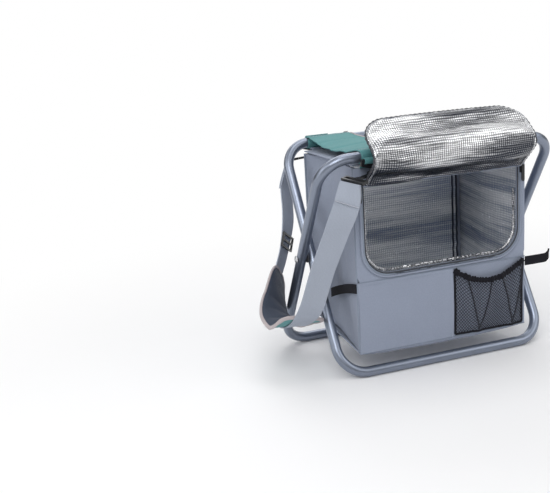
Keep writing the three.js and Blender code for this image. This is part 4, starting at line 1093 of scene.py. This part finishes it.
def pad():
    """The shoulder pad: flat on the webbing, crowned and quilted on the other side, bound round its rim."""
    def flat(s, a):
        return 1.9 + 0.4 * wobble(a * 40, s * PAD_LENGTH, 0, 22, 3.0)

    def crowned(s, a):
        quilt = 0.75 + 0.25 * abs(sin(s * pi * 7)) ** 0.6
        crown = 8 * min(1, 6 * min(s, 1 - s) + 0.1) * quilt * (1 - a * a) ** 0.5
        return 4.2 + crown + 0.6 * wobble(a * 40, s * PAD_LENGTH, 0, 18, 5.0)

    shares = linspace(0, 1, 60)
    top, low = (np.array(lattice(shares, linspace(-1, 1, 25),
                                 lambda s, a: strap_point(pad_place(s), a * pad_half(s), height(s, a))))
                for height in (flat, crowned))
    thick = norm(top - low, axis=2)
    body = settle(sheet("pad_body", (top + low) / 2, thick, TEAL, PAD_IN, PAD_IN), "black_cloth",
                  "shoulder_pad", "pad_cover")
    rim = [strap_point(pad_place(s), sign * pad_half(s), 3)
           for sign, run in ((1, shares), (-1, shares[::-1])) for s in run]
    rim = even(rim + rim[:1], 3)[:-1]
    middle = strap_frame(pad_place(0.5))[2]
    settle(sweep("pad_binding", rim, circle(3.2, 12, 0.62), middle, BINDING, closed=True), "binding")


strap()
pad()


# Hook hardware: tabs, and finishes for the rings, loops, hooks, gates, adjuster and zipper parts

def tab(side, name):
    """Webbing sewn round the sleeve and looped through the ring's slot over its upper bar."""
    bar_y, way, body = bar_frame(side < 0)
    origin, down, through = ring_frame(side)
    loop = [origin + through * off + down * drop for off, drop in (
        (7.2, -4), (5.2, -6.0), (2, -6.6), (-1.2, -5.4), (-1.8, -2.5), (-1.2, 0.4), (1.6, 1.4), (3.4, 1.3))]
    line = [(bar_y + way * y, BAR_Z + z) for y, z in arc(0, 0, TAPE_RADIUS, 112, 150, 8)]
    line = even(line + [(p[1], p[2]) for p in loop], 1.2)
    grid = lattice(linspace(-136.8, -97.2, 12)[::way], line, lambda x, p: (x, *p))
    settle(sheet(f"tab_{name}", grid, 1.2, TEAL), "webbing", f"ring_tab_{name}", body=body)


tab(-1, "front")
tab(1, "rear")

for node_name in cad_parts:
    if node_name.startswith(("zipper", "strap_ring", "strap_loop", "snap_hook", "strap_adjuster", "hook_gate")):
        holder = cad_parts[node_name]
        holder.data.materials.clear()
        holder.data.materials.append(STEEL if node_name.startswith("hook_gate") else PLASTIC)


# Floor, lamps and world

def ground():
    """A plain pale floor that turns plain white further out, where it is seen."""
    mesh = bpy.data.meshes.new("floor")
    mesh.from_pydata([(-8, -8, 0), (8, -8, 0), (8, 8, 0), (-8, 8, 0)], [], [(0, 1, 2, 3)])
    finish = Finish("floor", 0.8, Specular_IOR_Level=0.1)
    vector, x, y, _ = finish.place("object")
    finish.put("Base Color", finish.mix(finish.noise(vector, 3, 2), (0.9, 0.9, 0.91), (0.93, 0.93, 0.94)))
    rays = finish.node("LightPath").outputs
    seen = finish.math("MAXIMUM", finish.math("MAXIMUM", rays["Is Camera Ray"], rays["Is Glossy Ray"]),
                       rays["Is Transmission Ray"])
    squares = [finish.math("MULTIPLY", way, way) for way in (x, y)]
    reach = finish.math("SQRT", finish.math("ADD", *squares))
    far = finish.node("MapRange", Value=reach, From_Min=0.3, From_Max=1.1)
    far.interpolation_type = "SMOOTHSTEP"
    blend = finish.node("MixShader", Fac=finish.math("MULTIPLY", far.outputs[0], seen))
    finish.feed(blend.inputs[1], finish.shader.outputs[0])
    finish.feed(blend.inputs[2], finish.node("Emission").outputs[0])
    finish.feed(finish.tree.nodes["Material Output"].inputs["Surface"], blend.outputs[0])
    mesh.materials.append(finish.material)
    add("floor", mesh)


def lamps():
    target = Vector((0, 0.1, 0.18))
    for name, spot, size, power in (
            ("key", (-1.1, -1.5, 1.9), 1.4, 24), ("fill", (1.7, -1.2, 1.1), 1.6, 9),
            ("back", (0.4, 1.9, 1.6), 1.6, 12), ("top", (0.1, 0.1, 2.2), 1.2, 11),
            ("side", (-2.1, 0.1, 0.9), 1.4, 9)):
        data = bpy.data.lights.new(name, "AREA")
        data.shape = "SQUARE"
        data.size = size
        data.energy = power
        lamp = add(name, data)
        lamp.matrix_world = (target - Vector(spot)).to_track_quat("-Z", "Y").to_matrix().to_4x4()
        lamp.matrix_world.translation = spot


def sky():
    """Plain white where the world is seen, dim for the light, and banded for what the metal mirrors."""
    world = bpy.data.worlds.new("studio")
    world.use_nodes = True
    nodes = Nodes(world.node_tree)
    back = nodes.tree.nodes["Background"]
    back.inputs["Color"].default_value = (1, 1, 1, 1)
    split = nodes.node("SeparateXYZ", Vector=nodes.node("TexCoord").outputs["Generated"])
    height = nodes.node("MapRange", Value=split.outputs[2], From_Min=-1.0)
    bands = ((0.0, 0.5), (0.4, 0.62), (0.5, 0.1), (0.6, 0.16), (0.72, 0.75), (0.84, 1.25), (0.93, 0.5),
             (1.0, 0.2))
    banded = nodes.ramp(height.outputs[0], *((spot, (v, v, v * 1.03)) for spot, v in bands))
    rays = nodes.node("LightPath").outputs
    mirrored = nodes.choose(rays["Is Glossy Ray"], 0.42, banded)
    seen = nodes.math("MAXIMUM", rays["Is Camera Ray"], rays["Is Transmission Ray"])
    nodes.feed(back.inputs["Strength"], nodes.choose(seen, mirrored, 1.0))
    bpy.context.scene.world = world


ground()
lamps()
sky()
bpy.context.scene.view_settings.view_transform = "Standard"
